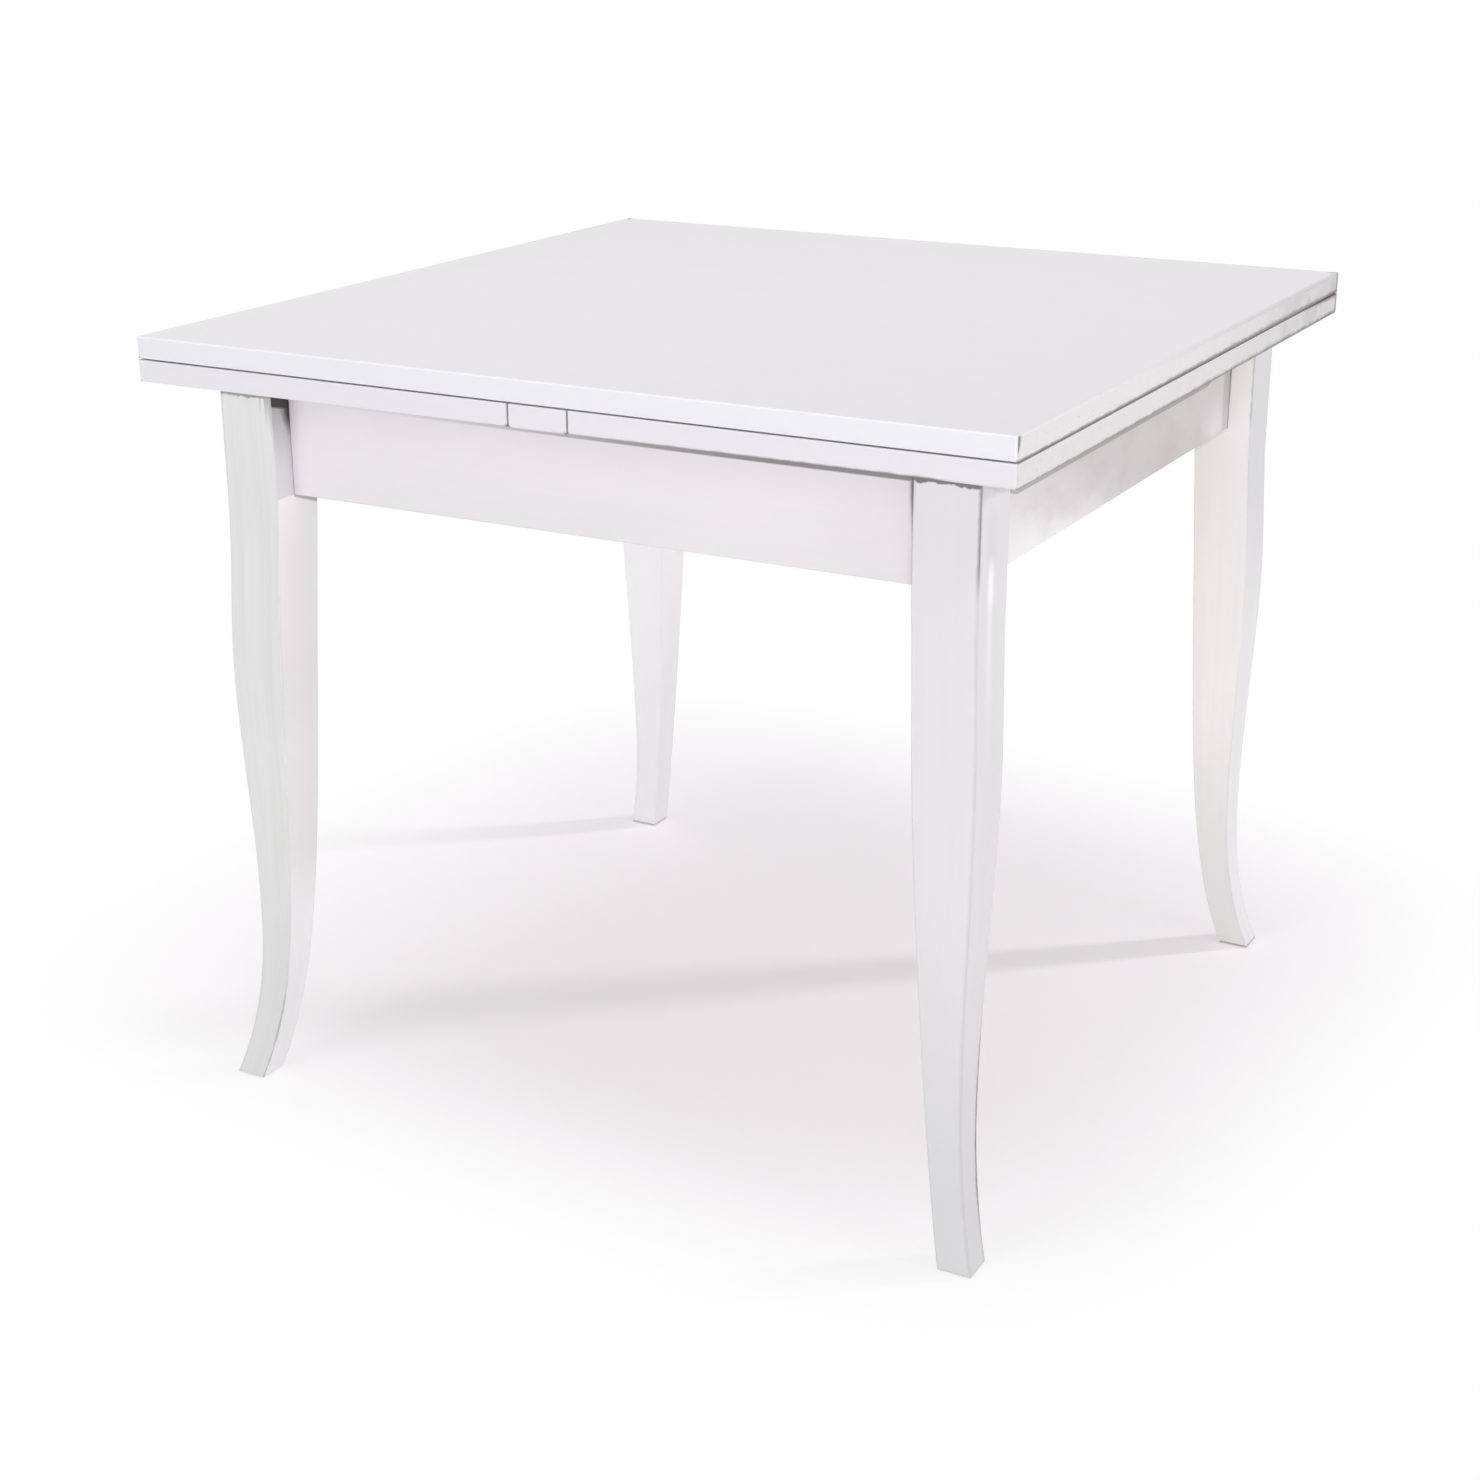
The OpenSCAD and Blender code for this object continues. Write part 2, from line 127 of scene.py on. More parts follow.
def grey(level: float, warmth: float = 0.0) -> Colour:
    """Returns a linear grey, a little redder and less blue with more warmth."""
    return (level * (1 + warmth), level, level * (1 - warmth), 1.0)


@dataclass(frozen=True)
class Block:
    """A box in the table's frame, in metres."""

    lo: Vector
    hi: Vector

    @classmethod
    def around(cls, *nodes: str) -> "Block":
        """Finds the box that holds the named nodes at rest.

        Args:
            nodes: names of CAD nodes.

        Returns:
            The smallest box round them all.
        """
        boxes = [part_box(node) for node in nodes]
        lo = Vector([min(box[0][axis] for box in boxes) for axis in range(3)])
        hi = Vector([max(box[1][axis] for box in boxes) for axis in range(3)])
        return cls(lo, hi)

    def planes_at(self, point: Vector) -> set[tuple[int, int]]:
        """Returns the box's planes that a point lies on, as pairs of axis and side."""
        return {(axis, side) for axis in range(3) for side, corner in ((-1, self.lo), (1, self.hi))
                if abs(point[axis] - corner[axis]) < PLANE_TOLERANCE}

    def place_of(self, point: Vector) -> tuple[Vector, Vector, Vector]:
        """Returns a point's pattern place, its place from the box's middle, and the box's half size."""
        return point, point - (self.lo + self.hi) / 2, (self.hi - self.lo) / 2


class LegCourse:
    """The curved course of a leg, told by its four arrises from the foot to the top."""

    def __init__(self, chains: list[Chain]) -> None:
        """Keeps the arrises' places.

        Args:
            chains: the vertices of each arris, from the foot up.
        """
        self.arrises = [[vert.co.copy() for vert in chain] for chain in chains]
        self.heights = [[place.z for place in arris] for arris in self.arrises]
        foot, top = self.heights[0][0], self.heights[0][-1]
        self.middle = (foot + top) / 2
        self.half_height = (top - foot) / 2
        lo, hi = self.section(top)
        self.home = (lo + hi) / 2

    def section(self, height: float) -> tuple[Vector, Vector]:
        """Measures the leg's square section.

        Args:
            height: where it is cut.

        Returns:
            The section's lowest and highest corner.
        """
        corners = []
        for arris, heights in zip(self.arrises, self.heights):
            k = min(max(bisect_right(heights, height) - 1, 0), len(heights) - 2)
            t = (height - heights[k]) / (heights[k + 1] - heights[k])
            corners.append(arris[k].lerp(arris[k + 1], min(max(t, 0.0), 1.0)))
        lo = Vector((min(c.x for c in corners), min(c.y for c in corners), 0))
        hi = Vector((max(c.x for c in corners), max(c.y for c in corners), 0))
        return lo, hi

    def place_of(self, point: Vector) -> tuple[Vector, Vector, Vector]:
        """Straightens a point of the leg.

        Args:
            point: a point of the leg, in the table's frame.

        Returns:
            Its place in the straightened leg for patterns, its place from the leg's middle, and half of the
            leg's section there with half of its height.
        """
        lo, hi = self.section(point.z)
        centred = point - (lo + hi) / 2
        pattern = centred + self.home
        half = (hi - lo) / 2
        half.z = self.half_height
        centred.z -= self.middle
        return pattern, centred, half


class Workpiece:
    """A copy of a CAD node's mesh on the bench, to be eased, measured for its patterns and finished."""

    STEEPNESS = 0.7
    ROUND_SEGMENTS = 3

    def __init__(self, source: bpy.types.Object) -> None:
        """Copies the node and merges its loose triangles into whole faces.

        Args:
            source: the CAD node's object.
        """
        self.node = source.name
        self.body = source["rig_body"]
        self.bm = bmesh.new()
        self.bm.from_mesh(source.data)
        bmesh.ops.remove_doubles(self.bm, verts=self.bm.verts, dist=MERGE_DISTANCE)
        bmesh.ops.dissolve_limit(self.bm, angle_limit=FLAT_ANGLE, use_dissolve_boundaries=False,
                                 verts=self.bm.verts, edges=self.bm.edges)

    def box_arrises(self, block: Block, plane: tuple[int, int] | None = None) -> Edges:
        """Finds the edges that lie on two faces of a box.

        Args:
            block: the box.
            plane: the axis and side of a face that the edges must lie on, if it matters.

        Returns:
            The edges.
        """
        found = []
        for edge in self.bm.edges:
            shared = block.planes_at(edge.verts[0].co) & block.planes_at(edge.verts[1].co)
            if len(shared) > 1 and (plane is None or plane in shared):
                found.append(edge)
        return found

    def rising_arrises(self) -> list[Chain]:
        """Follows the sharp edges up from each corner of the foot.

        Returns:
            For each of the four arrises its vertices, from the foot to the top.
        """
        foot = min(vert.co.z for vert in self.bm.verts)
        starts = [v for v in self.bm.verts if v.co.z - foot < PLANE_TOLERANCE and self._next_up(v)]
        chains = []
        for vert in starts:
            chain = [vert]
            while (above := self._next_up(chain[-1])):
                chain.append(above)
            chains.append(chain)
        return chains

    def _next_up(self, vert: bmesh.types.BMVert) -> bmesh.types.BMVert | None:
        """Follows a sharp edge between two outer faces up.

        Args:
            vert: where it starts.

        Returns:
            The vertex above, if there is one.
        """
        for edge in vert.link_edges:
            other = edge.other_vert(vert)
            steep = other.co.z - vert.co.z > self.STEEPNESS * edge.calc_length()
            if steep and edge.calc_face_angle(0) > ARRIS_ANGLE and edge.is_convex:
                return other
        return None

    def edges_between(self, chains: list[Chain]) -> Edges:
        """Finds the sharp edges along the arrises and round the foot.

        Args:
            chains: the vertices of each arris.

        Returns:
            The edges that join two of them, but for those round the top.
        """
        joined = {vert for chain in chains for vert in chain}
        top = max(vert.co.z for vert in self.bm.verts)
        return [edge for edge in self.bm.edges
                if edge.calc_face_angle(0) > ARRIS_ANGLE and all(vert in joined for vert in edge.verts)
                and any(top - vert.co.z >= PLANE_TOLERANCE for vert in edge.verts)]

    def sharp_edges(self) -> Edges:
        """Returns the edges where two faces meet at a sharp outer corner."""
        return [edge for edge in self.bm.edges
                if edge.is_convex and edge.calc_face_angle(0) > ARRIS_ANGLE]

    def ease(self, edges: Edges, radius: float) -> None:
        """Rounds edges over.

        Args:
            edges: the edges to round.
            radius: how far the round reaches, in metres.
        """
        if edges:
            bmesh.ops.bevel(self.bm, geom=edges, offset=radius, offset_type="OFFSET",
                            segments=self.ROUND_SEGMENTS, profile=0.5, affect="EDGES", clamp_overlap=True,
                            material=-1)

    def mark(self, course: Block | LegCourse) -> None:
        """Stores on each vertex the places that the finishes read.

        Args:
            course: the box or the leg course that the piece's edges are measured from.
        """
        layers = [self.bm.verts.layers.float_vector.new(name) for name in ("pattern", "centred", "half")]
        for vert in self.bm.verts:
            for layer, value in zip(layers, course.place_of(vert.co)):
                vert[layer] = value

    def finished(self, finish: "Finish", store: "FinishStore", suffix: str = "") -> None:
        """Makes the piece's object, in place of its CAD node and on the node's body.

        Args:
            finish: the piece's paint, wood or stuff.
            store: the finishes that are made already.
            suffix: what the node's name gets behind it, where it isn't the finish's own suffix.
        """
        obj = mesh_object(f"{self.node}_{suffix or finish.suffix}", self.bm, store.of(finish))
        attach(obj, self.body)
        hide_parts(self.node)
        LOG.info("%s: %d faces", obj.name, len(obj.data.polygons))


@dataclass(frozen=True)
class Island:
    """One of the separate bodies in a node's mesh."""

    points: tuple[Vector, ...]

    @property
    def centre(self) -> Vector:
        """The middle of the body's box."""
        lo, hi = (Vector([pick(p[axis] for p in self.points) for axis in range(3)]) for pick in (min, max))
        return (lo + hi) / 2

    def half_length(self, axis: Vector) -> float:
        """Returns how far the body reaches along an axis from its middle."""
        return max(abs((point - self.centre).dot(axis)) for point in self.points)

    def radius(self, axis: Vector) -> float:
        """Returns how far the body reaches away from an axis through its middle."""
        return max((point - self.centre).cross(axis).length for point in self.points)


class Lathe:
    """Turns the round bodies of a node anew, all in one mesh."""

    STEPS = 28

    def __init__(self, source: bpy.types.Object) -> None:
        """Takes the node's mesh as the pattern for its bodies.

        Args:
            source: the CAD node's object.
        """
        self.pattern = Workpiece(source)
        self.bm = bmesh.new()

    def islands(self) -> list[Island]:
        """Parts the node's mesh.

        Returns:
            Its separate bodies.
        """
        left, found = set(self.pattern.bm.verts), []
        while left:
            reached = [left.pop()]
            for vert in reached:
                near = {edge.other_vert(vert) for edge in vert.link_edges} & left
                left -= near
                reached.extend(near)
            found.append(Island(tuple(vert.co.copy() for vert in reached)))
        return found

    def turn(self, profile: list[tuple[float, float]], centre: Vector, axis: Vector) -> None:
        """Turns a closed body.

        Args:
            profile: pairs of radius and height, from the bottom's middle to the top's.
            centre: where the profile's zero goes.
            axis: the axis that heights are measured along.
        """
        before = set(self.bm.verts)

        def made() -> Chain:
            """Returns the vertices that this body has so far."""
            return [vert for vert in self.bm.verts if vert not in before]

        verts = [self.bm.verts.new((radius, 0, height)) for radius, height in profile]
        edges = [self.bm.edges.new(pair) for pair in zip(verts, verts[1:])]
        bmesh.ops.spin(self.bm, geom=verts + edges, cent=(0, 0, 0), axis=(0, 0, 1), dvec=(0, 0, 0),
                       angle=2 * math.pi, steps=self.STEPS, use_merge=True, use_normal_flip=False,
                       use_duplicate=False)
        bmesh.ops.remove_doubles(self.bm, verts=made(), dist=MERGE_DISTANCE)
        turned = Matrix.Translation(centre) @ axis.to_track_quat("Z", "Y").to_matrix().to_4x4()
        bmesh.ops.transform(self.bm, matrix=turned, verts=made())

    def thread(self, island: Island, axis: Vector, pitch: float, depth: float) -> None:
        """Turns a threaded rod in place of an island.

        Args:
            island: the rod in the CAD.
            axis: the rod's axis.
            pitch: from one ridge to the next.
            depth: how deep the grooves are.
        """
        half, crest = island.half_length(axis), island.radius(axis)
        root, tip = crest - depth, crest - 2 * depth
        count = int(2 * (half - pitch) / pitch)
        start = -count * pitch / 2
        profile = [(0.0, -half), (tip, -half)]
        for turn in range(count):
            profile += [(root, start + turn * pitch), (crest, start + (turn + 0.5) * pitch)]
        profile += [(root, -start), (tip, half), (0.0, half)]
        self.turn(profile, island.centre, axis)

    def finished(self, finish: "Finish", store: "FinishStore") -> None:
        """Makes the turned object in place of the node.

        Args:
            finish: what it is made of.
            store: the finishes that are made already.
        """
        bmesh.ops.recalc_face_normals(self.bm, faces=self.bm.faces)
        self.pattern.bm.free()
        self.pattern.bm = self.bm
        self.pattern.finished(finish, store, "turned")


def mesh_object(name: str, bm: bmesh.types.BMesh, material: bpy.types.Material) -> bpy.types.Object:
    """Makes an object from a bmesh, smooth over its rounds and flat on its faces.

    Args:
        name: the object's name.
        bm: its mesh, which is freed.
        material: its one material.

    Returns:
        The object, linked into the scene.
    """
    bm.normal_update()
    mesh = bpy.data.meshes.new(name)
    bm.to_mesh(mesh)
    bm.free()
    mesh.materials.append(material)
    mesh.shade_smooth()
    mesh.set_sharp_from_angle(angle=ARRIS_ANGLE)
    obj = bpy.data.objects.new(name, mesh)
    bpy.context.scene.collection.objects.link(obj)
    flat = obj.modifiers.new("flat_faces", "WEIGHTED_NORMAL")
    flat.keep_sharp = True
    flat.weight = 100
    return obj


class NodeSheet:
    """A node tree with short calls for the nodes that finishes are made of."""

    def __init__(self, tree: bpy.types.NodeTree) -> None:
        """Starts on a tree.

        Args:
            tree: the tree that the nodes are added to.
        """
        self.tree = tree

    @classmethod
    def cleared(cls, owner: bpy.types.Material | bpy.types.World) -> "NodeSheet":
        """Starts on an empty tree.

        Args:
            owner: the material or world that the tree belongs to.

        Returns:
            The sheet.
        """
        owner.use_nodes = True
        owner.node_tree.nodes.clear()
        return cls(owner.node_tree)

    def feed(self, socket: Socket, value: object) -> None:
        """Links a socket to another one, or sets it to a plain value.

        Args:
            socket: what is fed.
            value: the other socket or the value.
        """
        if isinstance(value, bpy.types.NodeSocket):
            self.tree.links.new(value, socket)
        else:
            socket.default_value = value

    def add(self, kind: str, inputs: dict[str | int, object] | None = None,
            **settings: object) -> bpy.types.bpy_prop_collection:
        """Adds a node.

        Args:
            kind: the node's type.
            inputs: what goes into its sockets, by name or number.
            settings: the node's own properties.

        Returns:
            The node's outputs.
        """
        node = self.tree.nodes.new(kind)
        for key, value in settings.items():
            setattr(node, key, value)
        for key, value in (inputs or {}).items():
            self.feed(node.inputs[key], value)
        return node.outputs

    def math(self, operation: str, *values: object) -> Socket:
        """Returns the result of a Math node."""
        return self.add("ShaderNodeMath", dict(enumerate(values)), operation=operation)[0]

    def vector(self, operation: str, *values: object) -> Socket:
        """Returns the vector that a Vector Math node gives."""
        return self.add("ShaderNodeVectorMath", dict(enumerate(values)), operation=operation)[0]

    def _chain(self, operation: str, first: object, others: tuple[object, ...]) -> Socket:
        """Returns the result of one operation on several values, one after the other."""
        return reduce(lambda value, other: self.math(operation, value, other), others, first)

    def times(self, first: object, *others: object) -> Socket:
        """Returns the product of several values."""
        return self._chain("MULTIPLY", first, others)

    def most(self, first: object, *others: object) -> Socket:
        """Returns the greatest of several values."""
        return self._chain("MAXIMUM", first, others)

    def least(self, first: object, *others: object) -> Socket:
        """Returns the least of several values."""
        return self._chain("MINIMUM", first, others)

    def minus(self, value: object, taken: object) -> Socket:
        """Returns a value less another one."""
        return self.math("SUBTRACT", value, taken)

    def scaled(self, value: object, factor: object, base: object) -> Socket:
        """Returns a value times a factor, on top of a base."""
        return self.math("MULTIPLY_ADD", value, factor, base)

    def away(self, value: object, mark: object) -> Socket:
        """Returns how far a value is from a mark, on either side."""
        return self.math("ABSOLUTE", self.minus(value, mark))

    def split(self, vector: Socket) -> tuple[Socket, Socket, Socket]:
        """Returns a vector's three parts."""
        return tuple(self.add("ShaderNodeSeparateXYZ", {0: vector}))

    def step(self, value: Socket, start: object, end: object, low: object = 0.0,
             high: object = 1.0) -> Socket:
        """Eases from one value to another.

        Args:
            value: what the result depends on.
            start: where the result is low.
            end: where the result is high, above or below the start.
            low: the result up to the start.
            high: the result from the end on.

        Returns:
            The eased value.
        """
        return self.add("ShaderNodeMapRange", {0: value, 1: start, 2: end, 3: low, 4: high},
                        interpolation_type="SMOOTHSTEP")[0]

    def band(self, value: Socket, rise: Fade, fall: Fade) -> Socket:
        """Returns 1 between two fades, each given from where it is 0 to where it is 1."""
        return self.times(self.step(value, *rise), self.step(value, *fall))

    def noise(self, vector: Socket, scale: object, detail: float = 3.0, roughness: float = 0.55) -> Socket:
        """Returns a noise texture's value."""
        return self.add("ShaderNodeTexNoise", {"Vector": vector, "Scale": scale, "Detail": detail,
                                               "Roughness": roughness})[0]

    def mix(self, factor: object, low: object, high: object) -> Socket:
        """Returns a mix of two colours."""
        return self.add("ShaderNodeMix", {0: factor, 6: low, 7: high}, data_type="RGBA")[2]

    def attribute(self, name: str) -> Socket:
        """Returns a vector that the piece's vertices hold."""
        return self.add("ShaderNodeAttribute", attribute_name=name)["Vector"]

    def object_place(self) -> Socket:
        """Returns a spot's place in the object's own coordinates."""
        return self.add("ShaderNodeTexCoord")["Object"]

    def group(self, tree: bpy.types.NodeTree, **inputs: object) -> bpy.types.bpy_prop_collection:
        """Returns the outputs of a node group placed here.

        Args:
            tree: the group.
            inputs: what goes into its sockets, by name.

        Returns:
            The outputs.
        """
        return self.add("ShaderNodeGroup", inputs, node_tree=tree)


class MaterialSheet(NodeSheet):
    """The sheet of a new material with one Principled shader."""

    def __init__(self, name: str) -> None:
        """Starts the material.

        Args:
            name: the material's name.
        """
        self.material = bpy.data.materials.new(name)
        self.material.use_nodes = True
        super().__init__(self.material.node_tree)
        self.tree.nodes.clear()
        self.shader = self.tree.nodes.new("ShaderNodeBsdfPrincipled")
        self.add("ShaderNodeOutputMaterial", {"Surface": self.shader.outputs[0]})

    def dress(self, colour: Socket, roughness: Socket, bump: dict[str, object]) -> bpy.types.Material:
        """Feeds the shader.

        Args:
            colour: the base colour.
            roughness: how rough each spot is.
            bump: what goes into the Bump node.

        Returns:
            The finished material.
        """
        for label, value in (("Base Color", colour), ("Roughness", roughness),
                             ("Normal", self.add("ShaderNodeBump", bump)[0])):
            self.feed(self.shader.inputs[label], value)
        return self.material


class GroupSheet(NodeSheet):
    """The sheet of a new node group, with its inputs and outputs."""

    def __init__(self, name: str, inputs: dict[str, str], outputs: tuple[str, ...]) -> None:
        """Starts the group.

        Args:
            name: the group's name.
            inputs: each input's name and kind of socket.
            outputs: the names of the outputs, which are plain values.
        """
        super().__init__(bpy.data.node_groups.new(name, "ShaderNodeTree"))
        sockets = [("INPUT", label, kind) for label, kind in inputs.items()]
        sockets += [("OUTPUT", label, "Float") for label in outputs]
        for way, label, kind in sockets:
            self.tree.interface.new_socket(name=label, in_out=way, socket_type=f"NodeSocket{kind}")
        self.given = self.add("NodeGroupInput")
        self.out = self.tree.nodes.new("NodeGroupOutput").inputs

    def give(self, **values: Socket) -> bpy.types.NodeTree:
        """Feeds the group's outputs.

        Args:
            values: what goes into each.

        Returns:
            The group.
        """
        for label, value in values.items():
            self.feed(self.out[label], value)
        return self.tree


class Effects:
    """The shader node groups that the finishes share."""

    THINNEST_LINE = 0.01 * MM

    def __init__(self) -> None:
        """Builds every group once."""
        self.brush_marks = self._brush_marks()
        self.plane_gaps = self._plane_gaps()
        self.ragged_line = self._ragged_line()
        self.blotches = self._blotches()
        self.beech = self._beech()

    @staticmethod
    def _brush_marks() -> bpy.types.NodeTree:
        """Streaks that a brush leaves along the grain: a mask for colour and a height for relief.

        Returns:
            The group.
        """
        sheet = GroupSheet("brush_marks", {"Vector": "Vector", "Stretch": "Vector"}, ("Streak", "Height"))
        drawn = sheet.vector("MULTIPLY", sheet.given["Vector"], sheet.given["Stretch"])
        fine = sheet.noise(drawn, scale=1.0, detail=4.0, roughness=0.6)
        broad = sheet.noise(drawn, scale=0.22, detail=2.0, roughness=0.5)
        both = sheet.scaled(fine, 0.6, sheet.times(broad, 0.4))
        return sheet.give(Streak=sheet.step(both, 0.38, 0.66), Height=fine)

    @staticmethod
    def _plane_gaps() -> bpy.types.NodeTree:
        """How far a spot lies inside its box: from the nearer X and Y sides, from the bottom and the top.

        Returns:
            The group.
        """
        sheet = GroupSheet("plane_gaps", {"Centred": "Vector", "Half": "Vector"}, ("X", "Y", "Low", "High"))
        centred, half = sheet.given["Centred"], sheet.given["Half"]
        x, y, _ = sheet.split(sheet.vector("SUBTRACT", half, sheet.vector("ABSOLUTE", centred)))
        low = sheet.split(sheet.vector("ADD", half, centred))[2]
        high = sheet.split(sheet.vector("SUBTRACT", half, centred))[2]
        return sheet.give(X=x, Y=y, Low=low, High=high)

    def _ragged_line(self) -> bpy.types.NodeTree:
        """A line along an arris or a joint whose edge is ragged, from the distance to it and its width.

        Returns:
            The group.
        """
        inputs = {"Vector": "Vector", "Distance": "Float", "Width": "Float", "Ragged": "Float"}
        sheet = GroupSheet("ragged_line", inputs, ("Mask",))
        rough = sheet.noise(sheet.given["Vector"], scale=90.0, detail=4.0, roughness=0.65)
        swing = sheet.times(sheet.minus(rough, 0.5), sheet.given["Ragged"])
        reach = sheet.times(sheet.given["Width"], sheet.math("ADD", swing, 1.0))
        reach = sheet.most(reach, self.THINNEST_LINE)
        return sheet.give(Mask=sheet.step(sheet.given["Distance"], reach, 0.0))

    @staticmethod
    def _blotches() -> bpy.types.NodeTree:
        """Soft clouds, where the glaze was wiped unevenly.

        Returns:
            The group.
        """
        sheet = GroupSheet("blotches", {"Vector": "Vector", "Scale": "Float"}, ("Mask",))
        clouds = sheet.noise(sheet.given["Vector"], sheet.given["Scale"])
        return sheet.give(Mask=sheet.step(clouds, 0.42, 0.68))

    @staticmethod
    def _beech() -> bpy.types.NodeTree:
        """The figure of planed beech: growth bands, short dark flecks and fine pores.

        Returns:
            The group.
        """
        sheet = GroupSheet("beech", {"Vector": "Vector", "Stretch": "Vector"}, ("Bands", "Flecks", "Pores"))
        place = sheet.given["Vector"]
        drawn = sheet.vector("MULTIPLY", place, sheet.given["Stretch"])
        warp = sheet.noise(drawn, scale=0.5, detail=2.0, roughness=0.5)
        bands = sheet.math("PINGPONG", sheet.times(warp, 9.0), 1.0)
        dotted = sheet.vector("MULTIPLY", place, (700.0,) * 3)
        flecks = sheet.step(sheet.noise(dotted, scale=1.0, detail=2.0, roughness=0.5), 0.62, 0.72)
        pores = sheet.noise(drawn, scale=9.0, detail=3.0, roughness=0.7)
        return sheet.give(Bands=sheet.step(bands, 0.1, 0.9), Flecks=flecks, Pores=pores)


@dataclass(frozen=True)
class UnderLines:
    """Heights and distances under the leaves that the glaze and the painted shade follow, in metres.

    Attributes:
        rail_low: height of the rails' lower edges.
        rail_face: how far the rails' outer faces stand from the middle.
        leg_inner: how far the legs' inner faces stand from the middle, beside the rails.
        leg_outer: how far their outer faces stand from it there.
        leaf_low: height of the leaves' undersides.
        leaf_edge: how far the leaves' edges stand from the middle.
    """

    rail_low: float = 0.0
    rail_face: float = 0.0
    leg_inner: float = 0.0
    leg_outer: float = 0.0
    leaf_low: float = 0.0
    leaf_edge: float = 0.0

    @classmethod
    def read(cls) -> "UnderLines":
        """Reads the lines off the frame's nodes.

        Returns:
            The table's lines.
        """
        rail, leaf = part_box("rail_front"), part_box("left_leaf_lipping")
        places = [vert.co for vert in bpy.data.objects["leg_front_left"].data.vertices]
        top = max(place.z for place in places)
        across = [-place.x for place in places if top - place.z < PLANE_TOLERANCE]
        return cls(rail[0].z, -rail[0].y, min(across), max(across), leaf[0].z, -leaf[0].y)


@dataclass(frozen=True)
class Stroke:
    """A ragged line, of glaze and in places of painted shade, that widens and darkens along an edge.

    Attributes:
        width: how much wider it gets, and how wide it is at least.
        strength: how much darker it gets, and how dark it is at least.
        ragged: how uneven its edge is.
    """

    width: Swing
    strength: Swing = (0.0, 1.0)
    ragged: float = 1.2


class PaintJob(MaterialSheet):
    """A paint in the making, with the places that the mesh of the painted piece tells.

    The two sights say how far the leaves' overhang hides the table from somebody who stands before it, as
    a drop for each metre of overhang: across the long rails and across the end rails.
    """

    FRONT_SIGHT = 0.27
    SIDE_SIGHT = 0.665
    HELD_FADE = (-9 * MM, -2 * MM)
    HELD_LEAST = 0.08
    CORNER_FADE = (-0.5 * MM, 0.5 * MM)
    ARRIS_RAGGED = 1.6

    def __init__(self, name: str, grain: Grain, brush: tuple[float, float], effects: Effects) -> None:
        """Starts the material and reads the piece's places.

        Args:
            name: the material's name.
            grain: the way that the paint is brushed.
            brush: how many brush marks there are in a metre, along the grain and across it.
            effects: the shared node groups.
        """
        super().__init__(name)
        self.effects = effects
        self.pattern, self.centred, self.half = map(self.attribute, ("pattern", "centred", "half"))
        self.place = self.split(self.pattern)
        gaps = self.group(effects.plane_gaps, Centred=self.centred, Half=self.half)
        self.gap_x, self.gap_y, self.gap_low, self.gap_high = gaps
        self.streak, self.height = self.group(effects.brush_marks, Vector=self.pattern,
                                              Stretch=grain.stretch(*brush))

    def line(self, distance: Socket, width: object, *strength: object, ragged: float = 1.2) -> Socket:
        """Draws a line with a ragged edge round where the distance is zero.

        Args:
            distance: how far a spot is from the line's middle.
            width: how far the line reaches.
            strength: what the line's darkness is the product of.
            ragged: how uneven its edge is.

        Returns:
            The line's mask.
        """
        mask = self.group(self.effects.ragged_line, Vector=self.pattern, Distance=distance, Width=width,
                          Ragged=ragged)[0]
        return self.times(mask, *strength)

    def stroke(self, kind: Stroke, distance: Socket, along: Socket, *strength: object) -> Socket:
        """Draws a line with a ragged edge that widens and darkens along an edge.

        Args:
            kind: the kind of line.
            distance: how far a spot is from the line's middle.
            along: how far along the edge it is, from 0 to 1.
            strength: what else the line's darkness is the product of.

        Returns:
            The line's mask.
        """
        return self.line(distance, self.scaled(along, *kind.width), self.scaled(along, *kind.strength),
                         *strength, ragged=kind.ragged)

    def sideways(self) -> Socket:
        """Returns 1 on the faces that look along X and 0 on those that look along Y."""
        return self.step(self.minus(self.gap_y, self.gap_x), *self.CORNER_FADE)

    def below_overhang(self, lines: UnderLines) -> Socket:
        """Measures down from where the leaves' overhang hides the table from somebody who stands before it.

        Args:
            lines: the table's lines.

        Returns:
            The height below that line.
        """
        x, y = (self.minus(lines.leaf_edge, self.math("ABSOLUTE", part)) for part in self.place[:2])
        drop = self.least(self.times(x, self.SIDE_SIGHT), self.times(y, self.FRONT_SIGHT))
        return self.minus(self.minus(lines.leaf_low, self.place[2]), drop)

    def shade_held_low(self, below: Socket) -> Socket:
        """Returns how much of the painted shade stays under the overhang, less of it higher up where nobody
        sees it.
        """
        return self.step(below, *self.HELD_FADE, self.HELD_LEAST, 1.0)

    def arrises(self, width: float, *strength: object) -> Socket:
        """Draws the worn lines along all the piece's arrises.

        Args:
            width: how far they reach.
            strength: what their darkness is the product of.

        Returns:
            The lines' mask.
        """
        level = self.most(self.gap_x, self.gap_y)
        lying = self.most(self.least(self.gap_low, self.gap_high), self.least(self.gap_x, self.gap_y))
        return self.line(self.least(level, lying), width, *strength, ragged=self.ARRIS_RAGGED)


